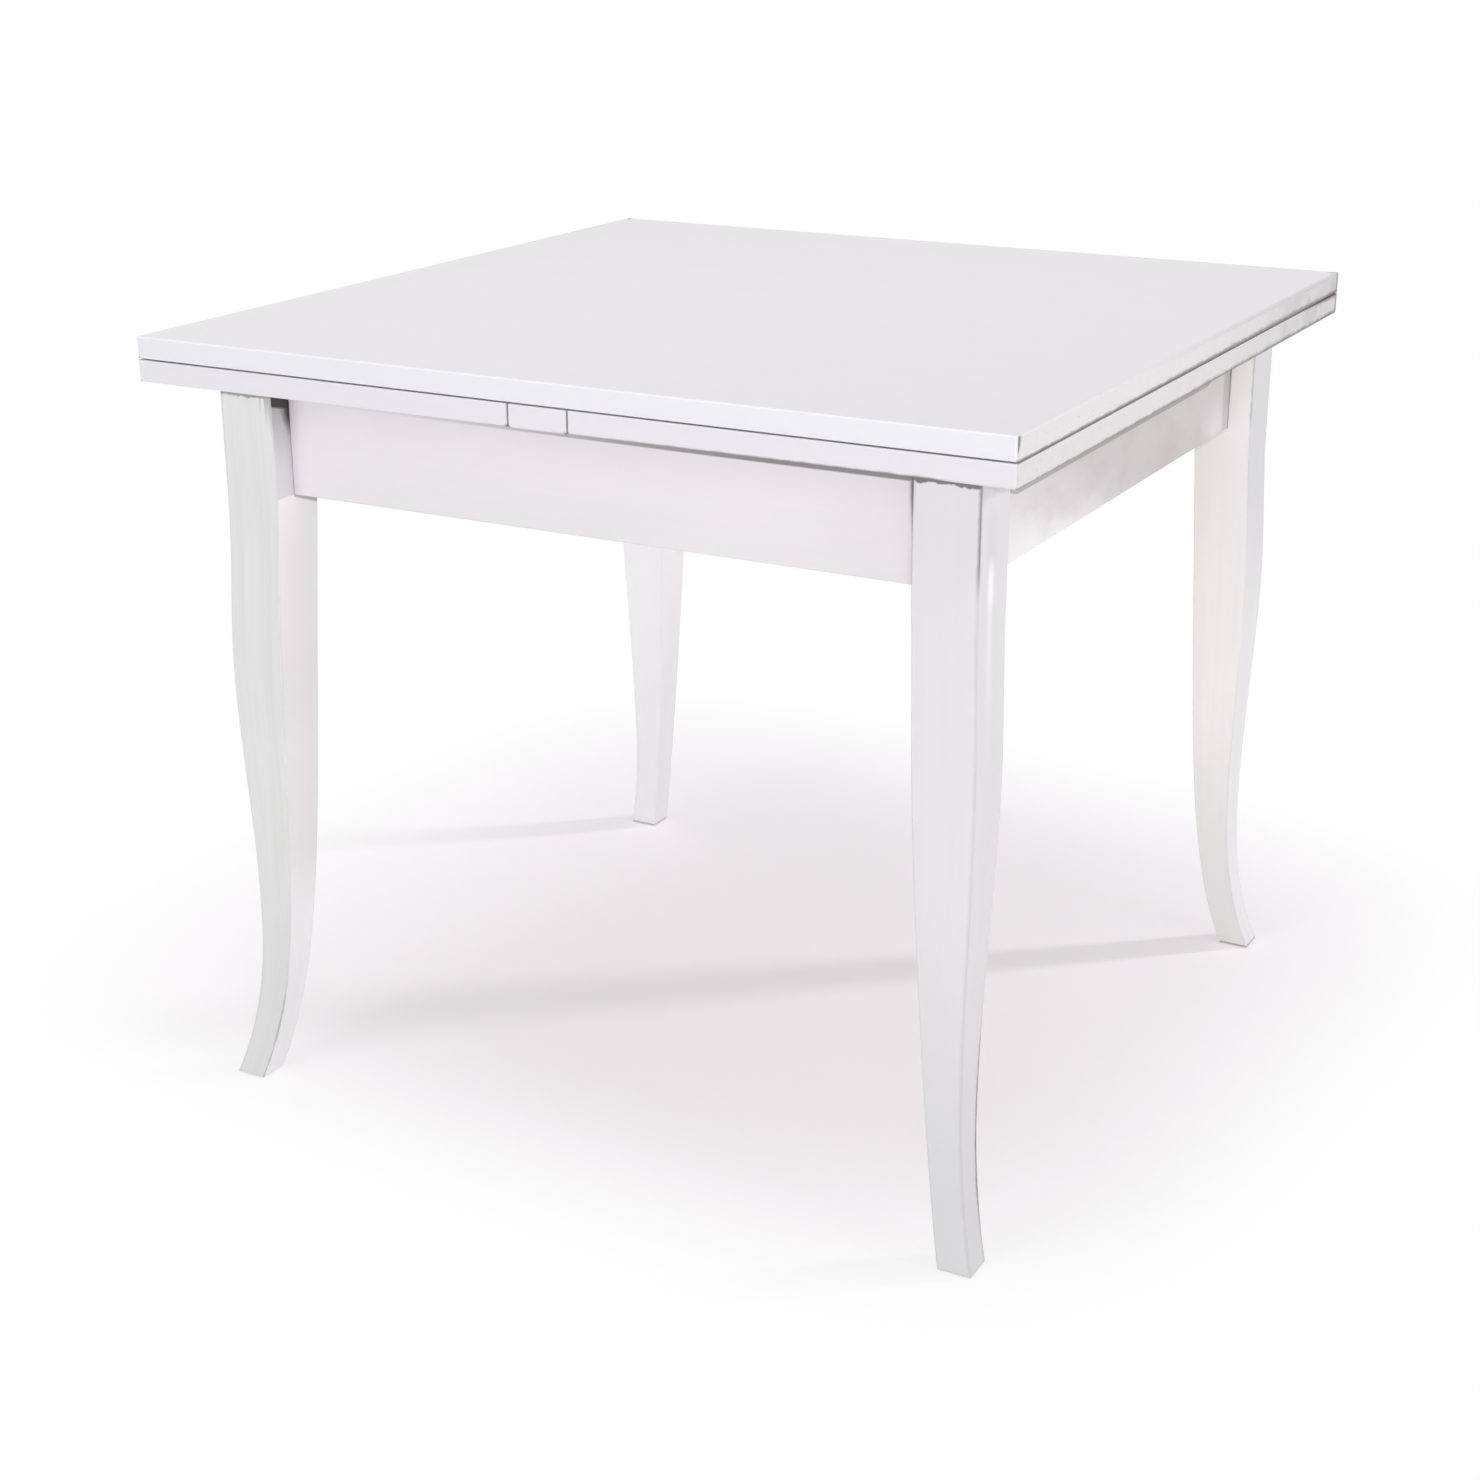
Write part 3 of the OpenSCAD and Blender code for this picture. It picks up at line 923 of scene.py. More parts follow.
@dataclass(frozen=True)
class BrushedPaint:
    """White paint brushed on along the grain, then a grey glaze wiped off that stays in the low places.

    Attributes:
        name: the material's name.
        grain: the way that it is brushed.
        tone: the paint's own colour.
        streak_tone: colour of the brush marks, and streaks how much they show.
        blotch_tone: colour of the clouds, blotching how much they show and blotch_scale how small they are.
        brush: how many brush marks there are in a metre, along the grain and across it.
        glaze_and_shade_tone: colour of the glaze, and of the painted shade that the leg, rail and edge
            paints lay on with it.
        arris_width: how far the glaze reaches from an arris, and arris_glaze how much of it is left there.
        roughness: how matt the paint is between the brush marks, and gloss_swing how much more in them.
        relief: how deep the brush marks feel.
    """

    name: str
    grain: Grain
    tone: Colour = (0.825, 0.80, 0.825, 1.0)
    streak_tone: Colour = (0.66, 0.65, 0.675, 1.0)
    streaks: float = 0.25
    blotch_tone: Colour = (0.70, 0.69, 0.70, 1.0)
    blotching: float = 0.2
    blotch_scale: float = 7.0
    brush: tuple[float, float] = (6.0, 170.0)
    glaze_and_shade_tone: Colour = (0.085, 0.075, 0.07, 1.0)
    arris_width: float = 1.6 * MM
    arris_glaze: float = 0.18
    roughness: float = 0.42
    relief: float = 0.22
    gloss_swing: float = 0.12

    slot: ClassVar[Slot] = Slot.PAINT
    suffix: ClassVar[str] = "painted"
    BRUSH_DEPTH: ClassVar[float] = 0.25 * MM
    CLOUD_STRETCH: ClassVar[tuple[float, float]] = (0.5, 1.0)
    BROKEN: ClassVar[Swing] = (0.7, 0.5)

    def material(self, effects: Effects) -> bpy.types.Material:
        """Builds the paint.

        Args:
            effects: the shared node groups.

        Returns:
            The material.
        """
        job = PaintJob(self.name, self.grain, self.brush, effects)
        drawn = job.vector("MULTIPLY", job.pattern, self.grain.stretch(*self.CLOUD_STRETCH))
        clouds = job.group(effects.blotches, Vector=drawn, Scale=self.blotch_scale)[0]
        streaked = job.mix(job.times(job.streak, self.streaking(job)), self.ground(job), self.streak_tone)
        clouded = job.mix(job.times(clouds, self.blotching), streaked, self.blotch_tone)
        # The glaze mask of the leg, rail and edge paints also holds painted shade, which takes this same
        # dark colour.
        glazed_and_shaded = job.mix(self.glaze(job), clouded, self.glaze_and_shade_tone)
        bump = {"Strength": self.relief, "Distance": self.BRUSH_DEPTH, "Height": job.height}
        return job.dress(glazed_and_shaded, job.scaled(job.streak, self.gloss_swing, self.roughness), bump)

    def ground(self, job: PaintJob) -> object:
        """Returns the paint's own colour on each spot, before streaks and glaze."""
        return self.tone

    def streaking(self, job: PaintJob) -> object:
        """Returns how much the brush marks show on each spot."""
        return self.streaks

    def glaze(self, job: PaintJob) -> Socket:
        """Says how much glaze is left on each spot.

        Args:
            job: the paint in the making.

        Returns:
            A mask from 0, bare paint, to 1, all glaze.
        """
        return job.arrises(self.arris_width, job.scaled(job.streak, *self.BROKEN), self.arris_glaze)


@dataclass(frozen=True)
class LegPaint(BrushedPaint):
    """Paint of a leg, with painted shade beside and under the rails, under the leaf and round its sole, and
    glaze along its arrises and near its foot.

    Attributes:
        lines: the table's lines.
        side_shading_tone: tone of the faces that look along X, which paints how much light they get, darker
            than the front on some legs and paler on others.
        foot_tone: tone that the leg turns to towards the floor, and side_foot_tone that of those faces.
        foot_shade: how far it turns to it.
        foot_edge: glaze on the outer arris near the floor, and side_edges that on the two beside it.
        side_glaze: glaze on those two at the height of the rails.
        ankle: glaze on the arris behind the ankle.
        sole: painted shadow round the foot's lower edge, where it stands on the floor.
        recess: painted shade in the recess beside a rail, which recess_shade spreads down the face along X.
        shade_depth: how far below the overhang that painted shade stands full.
        front_shade: how much of it is on the face along Y.
        shade_spread: how far it reaches out over the face.
        outer_glaze: glaze along the outer arris.
        under_rail_shadow: painted shadow under a rail's lower edge.
        overhang_shadow: painted shadow right under the leaf, and side_overhang_shadow that on the faces
            along X.
        upper_shade: how far the leg's upper part is shaded, and side_upper_shade that of those faces.
        side_streaks: how much the brush marks show on those faces, as a share of the others.
        joint_width: width of the joint's line at the leaf, where a wide line is painted shade in the recess,
            and joint_tail how much of it is left lower down.
        glint: how bright the strip is that catches the light before the end rail.
    """

    lines: UnderLines = UnderLines()
    side_shading_tone: Colour = (0.825, 0.80, 0.825, 1.0)
    foot_tone: Colour = (0.60, 0.59, 0.61, 1.0)
    foot_shade: float = 0.6
    side_foot_tone: Colour = (0.60, 0.59, 0.61, 1.0)
    foot_edge: float = 0.6
    side_edges: float = 0.45
    ankle: float = 0.45
    sole: float = 0.0
    recess: float = 0.5
    recess_shade: float = 0.53
    shade_depth: float = 14 * MM
    front_shade: float = 0.5
    shade_spread: float = 8 * MM
    outer_glaze: float = 0.5
    under_rail_shadow: float = 0.5
    side_glaze: float = 0.0
    overhang_shadow: float = 0.0
    side_overhang_shadow: float = 0.0
    upper_shade: float = 0.0
    side_upper_shade: float = 0.0
    side_streaks: float = 1.0
    joint_width: float = 5 * MM
    joint_tail: float = 0.6
    glint: float = 0.0

    FOOT_FADE: ClassVar[Fade] = (0.38, 0.04)
    UPPER_FADE: ClassVar[Fade] = (0.62, 0.72)
    SIDE_UPPER_FADE: ClassVar[Fade] = (0.36, 0.60)
    OUTER_FOOT_FADE: ClassVar[Fade] = (0.24, 0.12)
    SIDE_FOOT_FADE: ClassVar[Fade] = (0.15, 0.07)
    ANKLE_FADE: ClassVar[Fade] = (0.26, 0.16)
    TOE_FADE: ClassVar[Fade] = (0.02, 0.06)
    GLINT_BAND: ClassVar[tuple[Fade, Fade]] = ((0.598, 0.632), (0.668, 0.642))
    GLINT_TAIL: ClassVar[tuple[Fade, Fade]] = ((0.45, 0.62), (0.664, 0.62))
    GLINT_SHADE: ClassVar[tuple[Fade, Fade]] = ((0.648, 0.668), (0.712, 0.690))
    GLINT_STRIP: ClassVar[Fade] = (9 * MM, 1 * MM)
    SHADE_STRIP: ClassVar[Fade] = (15 * MM, 3 * MM)
    TAIL_STRENGTH: ClassVar[float] = 0.4
    SHADE_STRENGTH: ClassVar[float] = 0.5
    GLINT_TONE: ClassVar[Colour] = grey(0.97)
    SHADE_TONE: ClassVar[Colour] = (0.60, 0.58, 0.61, 1.0)
    ON_FACE: ClassVar[Fade] = (0.8 * MM, 0.1 * MM)
    RECESS_FADE: ClassVar[Fade] = (75 * MM, 2 * MM)
    RECESS_LEAST: ClassVar[float] = 0.24
    SHADE_FULL_SHARE: ClassVar[float] = 0.55
    JOINT_FADE: ClassVar[Fade] = (44 * MM, 14 * MM)
    JOINT_EDGE: ClassVar[Fade] = (-1 * MM, 0.0)
    UNDER_FADE: ClassVar[Fade] = (3.2 * MM, 1.4 * MM)
    UNDER_EDGE: ClassVar[Fade] = (0.5 * MM, -0.5 * MM)
    UNDER_SLOPE: ClassVar[Swing] = (-0.4, 0.75)
    SHADE_RAG_STRETCH: ClassVar[tuple[float, float]] = (9.0, 330.0)
    SHADE_RAG_FADE: ClassVar[Fade] = (0.38, 0.62)
    SHADE_RAG_LEAST: ClassVar[float] = 0.15
    # How steeply the painted recess shade's width grows towards the leaf, and its strength on the face along
    # Y.
    RUN_POWER: ClassVar[float] = 4.0
    FRONT_POWER: ClassVar[float] = 2.4
    # These two are counted up from the rail's lower edge.
    OUTER_RAIL_FADE: ClassVar[Fade] = (-4 * MM, 36 * MM)
    SIDE_RAIL_FADE: ClassVar[Fade] = (-10 * MM, 20 * MM)
    LINE_WIDTH: ClassVar[float] = 1.2 * MM
    OUTER_WIDTH: ClassVar[float] = 3.6 * MM
    SIDE_WIDTH: ClassVar[float] = 2.6 * MM
    ANKLE_WIDTH: ClassVar[float] = 6 * MM
    OUTER_LEAST: ClassVar[float] = 0.22
    TOE_LEAST: ClassVar[float] = 0.25
    CAP_EDGE: ClassVar[Swing] = (2.4 * MM, 0.8 * MM)
    CAP_BLUR: ClassVar[float] = 1.6 * MM

    def ground(self, job: PaintJob) -> Socket:
        """Gives the faces that look sideways their own tone as painted light and shade, and darkens the leg
        towards its foot.

        Args:
            job: the paint in the making.

        Returns:
            The colour.
        """
        height, sideways = job.place[2], job.sideways()
        tone = job.mix(sideways, self.tone, self.side_shading_tone)
        footing = job.mix(sideways, self.foot_tone, self.side_foot_tone)
        tone = job.mix(job.step(height, *self.FOOT_FADE, 0.0, self.foot_shade), tone, footing)
        side_upper = job.times(job.step(height, *self.SIDE_UPPER_FADE, 0.0, self.side_upper_shade), sideways)
        upper = job.step(height, *self.UPPER_FADE, 0.0, self.upper_shade)
        tone = job.mix(job.most(upper, side_upper), tone, self.foot_tone)
        return self.with_glint(job, tone) if self.glint else tone

    def with_glint(self, job: PaintJob, tone: Socket) -> Socket:
        """Adds the strip that catches the light before the end rail, and the shade above it.

        Args:
            job: the paint in the making.
            tone: the colour so far.

        Returns:
            The colour with both.
        """
        height, sideways = job.place[2], job.sideways()
        beside = job.away(job.math("ABSOLUTE", job.place[1]), self.lines.rail_face)
        shade = job.times(job.band(height, *self.GLINT_SHADE), sideways,
                          job.step(beside, *self.SHADE_STRIP), self.SHADE_STRENGTH)
        tail = job.times(job.band(height, *self.GLINT_TAIL), self.TAIL_STRENGTH)
        strip = job.times(job.step(beside, *self.GLINT_STRIP), sideways)
        bright = job.times(job.most(job.band(height, *self.GLINT_BAND), tail), strip, self.glint)
        return job.mix(bright, job.mix(shade, tone, self.SHADE_TONE), self.GLINT_TONE)

    def streaking(self, job: PaintJob) -> Socket:
        """Lets the faces that look sideways have fewer brush marks, or more."""
        return job.step(job.sideways(), 0.0, 1.0, self.streaks, self.streaks * self.side_streaks)

    def glaze(self, job: PaintJob) -> Socket:
        """Adds the painted shade in the recess, under the rails, under the leaf and round the sole, and the
        glaze along the joints and the leg's arrises.

        Args:
            job: the paint in the making.

        Returns:
            A mask of all the glaze and painted shade.
        """
        outward = job.vector("MULTIPLY", job.vector("SIGN", job.pattern), job.centred)
        inner = job.split(job.vector("ADD", job.half, outward))
        outer = job.split(job.vector("SUBTRACT", job.half, outward))
        below = job.below_overhang(self.lines)
        # Painted shadow of the leaf's overhang: a ragged dark band just below where the overhang hides the
        # leg.
        ragged = job.scaled(job.streak, *self.CAP_EDGE)
        faced = job.step(job.sideways(), 0.0, 1.0, self.overhang_shadow, self.side_overhang_shadow)
        overhang_shadow = job.step(below, job.math("ADD", ragged, self.CAP_BLUR), ragged)
        overhang_shadow = job.times(overhang_shadow, faced, job.shade_held_low(below))
        layers = (*self.at_rails(job, job.least(inner[0], inner[1]), below),
                  *self.on_arrises(job, inner, outer), overhang_shadow, super().glaze(job))
        return job.least(job.most(*layers), 1.0)

    def at_rails(self, job: PaintJob, to_inner: Socket, below: Socket) -> tuple[Socket, Socket, Socket]:
        """Finds the painted shade and the glaze at the rails.

        Args:
            job: the paint in the making.
            to_inner: how far a spot is from the leg's inner faces.
            below: how far it is below the overhang.

        Returns:
            The painted shade in the recess beside a rail, which runs out over the face; the line along the
            joint, wider and darker towards the leaf, where a wide line is painted shade; and the painted
            shadow under the rail, which drops away from the joint.
        """
        height, sideways, lines = job.place[2], job.sideways(), self.lines
        up = job.step(height, lines.rail_low, lines.leaf_low)
        beside = job.math("GREATER_THAN", height, lines.rail_low)
        on_inner = job.step(to_inner, *self.ON_FACE)
        # Painted shade in the recess between leg and rail, with a ragged edge.
        shade_rag = job.noise(job.vector("MULTIPLY", job.pattern, Grain.Z.stretch(*self.SHADE_RAG_STRETCH)), 1.0, 2.0)
        run = job.times(job.math("POWER", up, self.RUN_POWER),
                        job.step(shade_rag, *self.SHADE_RAG_FADE, self.SHADE_RAG_LEAST, 1.0))
        full = job.step(below, self.shade_depth, self.SHADE_FULL_SHARE * self.shade_depth)
        along_x = job.most(job.times(full, job.shade_held_low(below)),
                           job.step(below, *self.RECESS_FADE, self.RECESS_LEAST, self.recess_shade))
        along_y = job.times(job.math("POWER", up, self.FRONT_POWER), self.front_shade)
        faced = job.step(sideways, 0.0, 1.0, along_y, along_x)
        recess_shading = job.line(to_inner, job.scaled(run, self.shade_spread, self.LINE_WIDTH), faced, self.recess, beside,
                        ragged=1.0)
        across = job.split(job.vector("ABSOLUTE", job.pattern))
        joint = job.minus(job.most(across[0], across[1]), lines.rail_face)
        seam = job.line(joint, job.scaled(up, self.joint_width, self.LINE_WIDTH), on_inner, beside,
                        job.step(joint, *self.JOINT_EDGE),
                        job.step(below, *self.JOINT_FADE, self.joint_tail, 1.0))
        # Painted shadow under the rail's lower edge, sloped along the sight line past it.
        slope = job.scaled(sideways, *self.UNDER_SLOPE)
        drop = job.scaled(joint, slope, job.minus(lines.rail_low, height))
        under = job.times(job.step(drop, *self.UNDER_FADE), on_inner, job.step(joint, *self.UNDER_EDGE),
                          job.math("LESS_THAN", height, lines.rail_low), self.under_rail_shadow)
        return recess_shading, seam, under

    def on_arrises(self, job: PaintJob, inner: Gaps, outer: Gaps) -> tuple[Socket, ...]:
        """Finds the lines of glaze along the leg's own edges, and the painted shadow round its sole.

        Args:
            job: the paint in the making.
            inner: how far a spot is from the leg's inner faces, along each axis.
            outer: how far it is from the outer ones.

        Returns:
            The line on the outer arris, dark at the rails and near the floor; the lines on the arrises
            beside it; the line behind the ankle; and the painted shadow round the sole.
        """
        height, rail = job.place[2], self.lines.rail_low
        back = job.most(outer[0], inner[1])
        at_rail = job.step(height, *(rail + reach for reach in self.OUTER_RAIL_FADE), self.OUTER_LEAST, 1.0)
        at_foot = job.step(height, *self.OUTER_FOOT_FADE, 0.0, self.foot_edge)
        front = job.line(job.most(outer[0], outer[1]), self.OUTER_WIDTH, job.most(at_rail, at_foot),
                         self.outer_glaze, ragged=1.0)
        low = job.step(height, *self.SIDE_FOOT_FADE, 0.0, self.side_edges)
        high = job.step(height, *(rail + reach for reach in self.SIDE_RAIL_FADE), 0.0, self.side_glaze)
        sides = job.line(job.least(back, job.most(inner[0], outer[1])), self.SIDE_WIDTH,
                         job.most(low, high), ragged=2.0)
        behind = job.line(back, self.ANKLE_WIDTH, job.step(height, *self.ANKLE_FADE),
                          job.step(height, *self.TOE_FADE, self.TOE_LEAST, 1.0), self.ankle)
        return front, sides, behind, job.line(job.gap_low, self.SIDE_WIDTH, self.sole, ragged=1.0)


@dataclass(frozen=True)
class RailPaint(BrushedPaint):
    """Paint of a rail, with glaze where it meets the far leg, painted shade under the leaf's overhang and,
    on the end rails, painted light on the lower far corner.

    Attributes:
        lines: the table's lines.
        axis: the axis that the rail runs along.
        far_tone: tone that the rail turns to from far_start to far_end along its axis, which far_slant
            brings nearer further up.
        upper_tone: tone under the overhang, upper_shade how far it turns to it and upper_reach how deep.
        overhang_shadow: painted shadow right under the leaf, and overhang_shadow_reach how far it comes
            down.
        end_hidden: how much of the rail's far end the leg hides.
        end_lift: how much painted light lifts the lower far corner back towards the paint's own tone,
            against the far leg's cast shadow.
        end_width: width of the line at the far leg, and end_glaze how dark it is.
    """

    lines: UnderLines = UnderLines()
    axis: int = 0
    far_tone: Colour = (0.825, 0.80, 0.825, 1.0)
    far_slant: float = 0.0
    far_start: float = -0.30
    far_end: float = 0.02
    upper_tone: Colour = (0.66, 0.64, 0.66, 1.0)
    upper_shade: float = 0.3
    upper_reach: float = 45 * MM
    overhang_shadow: float = 0.75
    overhang_shadow_reach: float = 1.6 * MM
    end_hidden: float = 0.0
    end_lift: float = 0.0
    end_width: float = 4 * MM
    end_glaze: float = 0.4

    LIFT_LENGTH: ClassVar[Fade] = (110 * MM, 40 * MM)
    LIFT_HEIGHT: ClassVar[Fade] = (60 * MM, 5 * MM)
    CAP_FADE: ClassVar[Fade] = (-0.34, 0.2)
    CAP_LEAST: ClassVar[float] = 0.8 * MM
    CAP_BLUR: ClassVar[float] = 1.5 * MM
    END_FADE: ClassVar[Fade] = (60 * MM, 8 * MM)
    END_LEAST: ClassVar[float] = 1 * MM
    END_STRENGTH: ClassVar[Swing] = (0.75, 0.25)
    END_RAGGED: ClassVar[float] = 0.8

    def ground(self, job: PaintJob) -> Socket:
        """Turns the tone towards the far end, less on the lower far corner where painted light lifts it, and
        paints shade on the rail's upper part.

        Args:
            job: the paint in the making.

        Returns:
            The colour.
        """
        slanted = job.scaled(job.gap_low, self.far_slant, job.place[self.axis])
        # Painted light: the lower far corner turns less to the darker far tone.
        lifted = job.times(job.step(self.to_far_leg(job), *self.LIFT_LENGTH),
                           job.step(job.gap_low, *self.LIFT_HEIGHT))
        turned = job.times(job.step(slanted, self.far_start, self.far_end),
                           job.scaled(lifted, -self.end_lift, 1.0))
        tone = job.mix(turned, self.tone, self.far_tone)
        upper = job.step(job.below_overhang(self.lines), self.upper_reach, 0.0, 0.0, self.upper_shade)
        return job.mix(upper, tone, self.upper_tone)

    def to_far_leg(self, job: PaintJob) -> Socket:
        """Returns how far a spot is from the leg at the rail's far end."""
        return job.minus(*(job.split(part)[self.axis] for part in (job.half, job.centred)))

    def glaze(self, job: PaintJob) -> Socket:
        """Adds the joint at the rail's far end and the painted shadow under the leaf to the glaze.

        Args:
            job: the paint in the making.

        Returns:
            A mask of all the glaze and painted shade.
        """
        below = job.below_overhang(self.lines)
        up = job.step(below, *self.END_FADE)
        along = job.most(job.minus(self.to_far_leg(job), self.end_hidden), 0.0)
        joint = Stroke((self.end_width, self.END_LEAST), self.END_STRENGTH, self.END_RAGGED)
        line = job.stroke(joint, along, up, self.end_glaze)
        # Painted shadow of the leaf's overhang on the rail, stronger towards the right.
        right = job.step(job.place[0], *self.CAP_FADE)
        reach = job.scaled(right, self.overhang_shadow_reach, self.CAP_LEAST)
        overhang_shadow = job.step(below, job.math("ADD", reach, self.CAP_BLUR), reach)
        overhang_shadow = job.times(overhang_shadow, right, self.overhang_shadow, job.shade_held_low(below))
        return job.least(job.most(line, overhang_shadow, super().glaze(job)), 1.0)


@dataclass(frozen=True)
class EdgePaint(BrushedPaint):
    """Paint of the top or a leaf, whose edges have their own tones as painted light and shade, with a
    painted highlight on the front's upper arris, painted shade along the lower arrises and glaze along their
    other arrises.

    Attributes:
        edge_tone: tone of the front edge, which paints how the lamps light it.
        end_shade_tone: tone of the end edges at the front, darker as painted shade, and far_tone that at the
            rear.
        arris_highlight: how strong the painted highlight is on the front edge's upper arris and near corner.
        lower_arris_shade: painted shade on the front edge's lower arris, and end_lower_arris_shade that on
            the ends'.
        end_glaze: glaze on the end edges' upper arris.
        corner_glaze: glaze down the corners.
        seam_side: 1 where the seam is above the piece, and -1 where it is below.
        near_chip: glaze in the chip at the near corner.
        flecks: how dark the specks of glaze are.
    """

    edge_tone: Colour = (0.84, 0.83, 0.865, 1.0)
    end_shade_tone: Colour = (0.72, 0.705, 0.71, 1.0)
    far_tone: Colour = (0.61, 0.59, 0.60, 1.0)
    arris_highlight: float = 0.8
    lower_arris_shade: float = 0.5
    end_lower_arris_shade: float = 0.9
    end_glaze: float = 0.3
    corner_glaze: float = 0.3
    seam_side: int = 1
    near_chip: float = 0.0
    flecks: float = 0.3

    TONE_FADE: ClassVar[Fade] = (-0.3, 0.45)
    RIGHT_FADE: ClassVar[Fade] = (-0.3, 0.32)
    BACK_FADE: ClassVar[Fade] = (-0.4, 0.45)
    FAR_FADE: ClassVar[Fade] = (0.26, 0.45)
    SMUDGE_FADE: ClassVar[Fade] = (0.02, 0.45)
    CORNER_FADE: ClassVar[Fade] = (0.40, 0.44)
    NEAR_CORNER: ClassVar[Fade] = (0.40, 0.42)
    NEAR_LEG: ClassVar[Fade] = (0.375, 0.40)
    NEAR_SIDE: ClassVar[Fade] = (-0.40, -0.42)
    SIDE_FACE: ClassVar[Fade] = (0.3 * MM, 1.3 * MM)
    END_FACE: ClassVar[Fade] = (2 * MM, 0.5 * MM)
    END_TONED: ClassVar[Fade] = (1.6 * MM, 0.2 * MM)
    END_CHIPPED: ClassVar[Fade] = (1.6 * MM, 0.4 * MM)
    HIGHLIGHT_TONE: ClassVar[Colour] = (0.95, 0.95, 0.97, 1.0)
    HIGHLIGHT_HIGH: ClassVar[tuple[float, float]] = (0.8 * MM, 1.6 * MM)
    HIGHLIGHT_CORNER: ClassVar[tuple[float, float]] = (2.4 * MM, 1.8 * MM)
    FRONT_SHADE: ClassVar[Stroke] = Stroke((1.8 * MM, 0.9 * MM), (0.8, 0.2), 1.4)
    LOWER_SHADE: ClassVar[Stroke] = Stroke((4.4 * MM, 3 * MM), ragged=1.8)
    UPPER: ClassVar[Stroke] = Stroke((5 * MM, 1.2 * MM), (0.7, 0.3), 1.0)
    TAIL_SHADE: ClassVar[Stroke] = Stroke((8 * MM, 0.0))
    CORNER: ClassVar[Stroke] = Stroke((12 * MM, 1.2 * MM))
    SEAM: ClassVar[Stroke] = Stroke((5 * MM, 0.9 * MM), (0.6, 0.35))
    LEG_STRENGTH: ClassVar[float] = 0.2
    CORNER_STRENGTH: ClassVar[Swing] = (0.8, 0.2)
    CHIP_HEIGHT: ClassVar[Fade] = (17 * MM, 1 * MM)
    CHIP_WIDTH: ClassVar[float] = 7 * MM
    SMUDGE_SCALE: ClassVar[float] = 26.0
    SMUDGE_STRENGTH: ClassVar[Swing] = (0.22, 0.08)
    SPECKS: ClassVar[tuple[float, float, float]] = (300.0, 120.0, 500.0)
    SPECK_FADE: ClassVar[Fade] = (0.6, 0.75)
    SPECK_LEAST: ClassVar[float] = 0.1

    def ground(self, job: PaintJob) -> Socket:
        """Gives the front and end edges their tones as painted light and shade, and paints a highlight on
        the front's upper arris and near corner.

        Args:
            job: the paint in the making.

        Returns:
            The colour.
        """
        side = job.step(job.gap_high, *self.SIDE_FACE)
        end = job.step(job.gap_x, *self.END_TONED)
        ends = job.mix(job.step(job.place[1], *self.TONE_FADE), self.end_shade_tone, self.far_tone)
        tone = job.mix(side, self.tone, job.mix(end, self.edge_tone, ends))
        # Painted highlight on the front's upper arris and down the near corner.
        level, upright = (
            job.line(job.most(job.gap_y, job.away(gap, middle)), width, ragged=0.5)
            for gap, (middle, width) in ((job.gap_high, self.HIGHLIGHT_HIGH), (job.gap_x, self.HIGHLIGHT_CORNER)))
        upright = job.times(upright, job.step(job.place[0], *self.NEAR_CORNER))
        pale = job.times(job.most(level, upright), job.minus(1.0, end), self.arris_highlight)
        return job.mix(pale, tone, self.HIGHLIGHT_TONE)

    def glaze(self, job: PaintJob) -> Socket:
        """Puts painted shade along the lower arrises, and glaze along the upper arrises, down the corners,
        in the seam and the chip, and in spots.

        Args:
            job: the paint in the making.

        Returns:
            A mask of all the glaze and painted shade.
        """
        x, y, _ = job.place
        right, back, far = (job.step(part, *fade) for part, fade in (
            (x, self.RIGHT_FADE), (y, self.BACK_FADE), (y, self.FAR_FADE)))
        lower, upper, corner = (job.most(job.gap_x, gap) for gap in (job.gap_low, job.gap_high, job.gap_y))
        seam = upper if self.seam_side > 0 else lower
        drift = job.group(job.effects.blotches, Vector=job.pattern, Scale=self.SMUDGE_SCALE)[0]
        speck = job.noise(job.vector("MULTIPLY", job.pattern, self.SPECKS), 1.0)
        # The front, lower and tail strokes are painted shade along the lower arrises; the rest is glaze.
        layers = (
            job.stroke(self.FRONT_SHADE, job.most(job.gap_y, job.gap_low), right,
                       job.step(x, *self.NEAR_LEG, 1.0, self.LEG_STRENGTH), self.lower_arris_shade),
            job.stroke(self.LOWER_SHADE, lower, back, self.end_lower_arris_shade),
            job.stroke(self.UPPER, upper, back, self.end_glaze),
            job.stroke(self.TAIL_SHADE, lower, far),
            job.stroke(self.CORNER, corner, far, job.step(job.math("ABSOLUTE", x), *self.CORNER_FADE),
                       job.scaled(back, *self.CORNER_STRENGTH), self.corner_glaze),
            job.stroke(self.SEAM, seam, far),
            self.chip(job),
            job.times(job.step(job.gap_x, *self.END_FACE), job.step(y, *self.SMUDGE_FADE),
                      job.scaled(drift, *self.SMUDGE_STRENGTH)),
            job.times(job.step(speck, *self.SPECK_FADE),
                      job.step(job.gap_x, *self.END_FACE, self.SPECK_LEAST, 1.0), self.flecks),
        )
        return job.least(job.most(*layers), 1.0)

    def chip(self, job: PaintJob) -> Socket:
        """Puts glaze in the chip at the near corner, wider at the top.

        Args:
            job: the paint in the making.

        Returns:
            The chip's mask.
        """
        return job.line(job.gap_y, job.step(job.gap_high, *self.CHIP_HEIGHT, 0.0, self.CHIP_WIDTH),
                        job.step(job.gap_x, *self.END_CHIPPED), job.step(job.place[1], *self.NEAR_SIDE),
                        job.step(job.place[0], *self.NEAR_CORNER), self.near_chip, ragged=0.6)


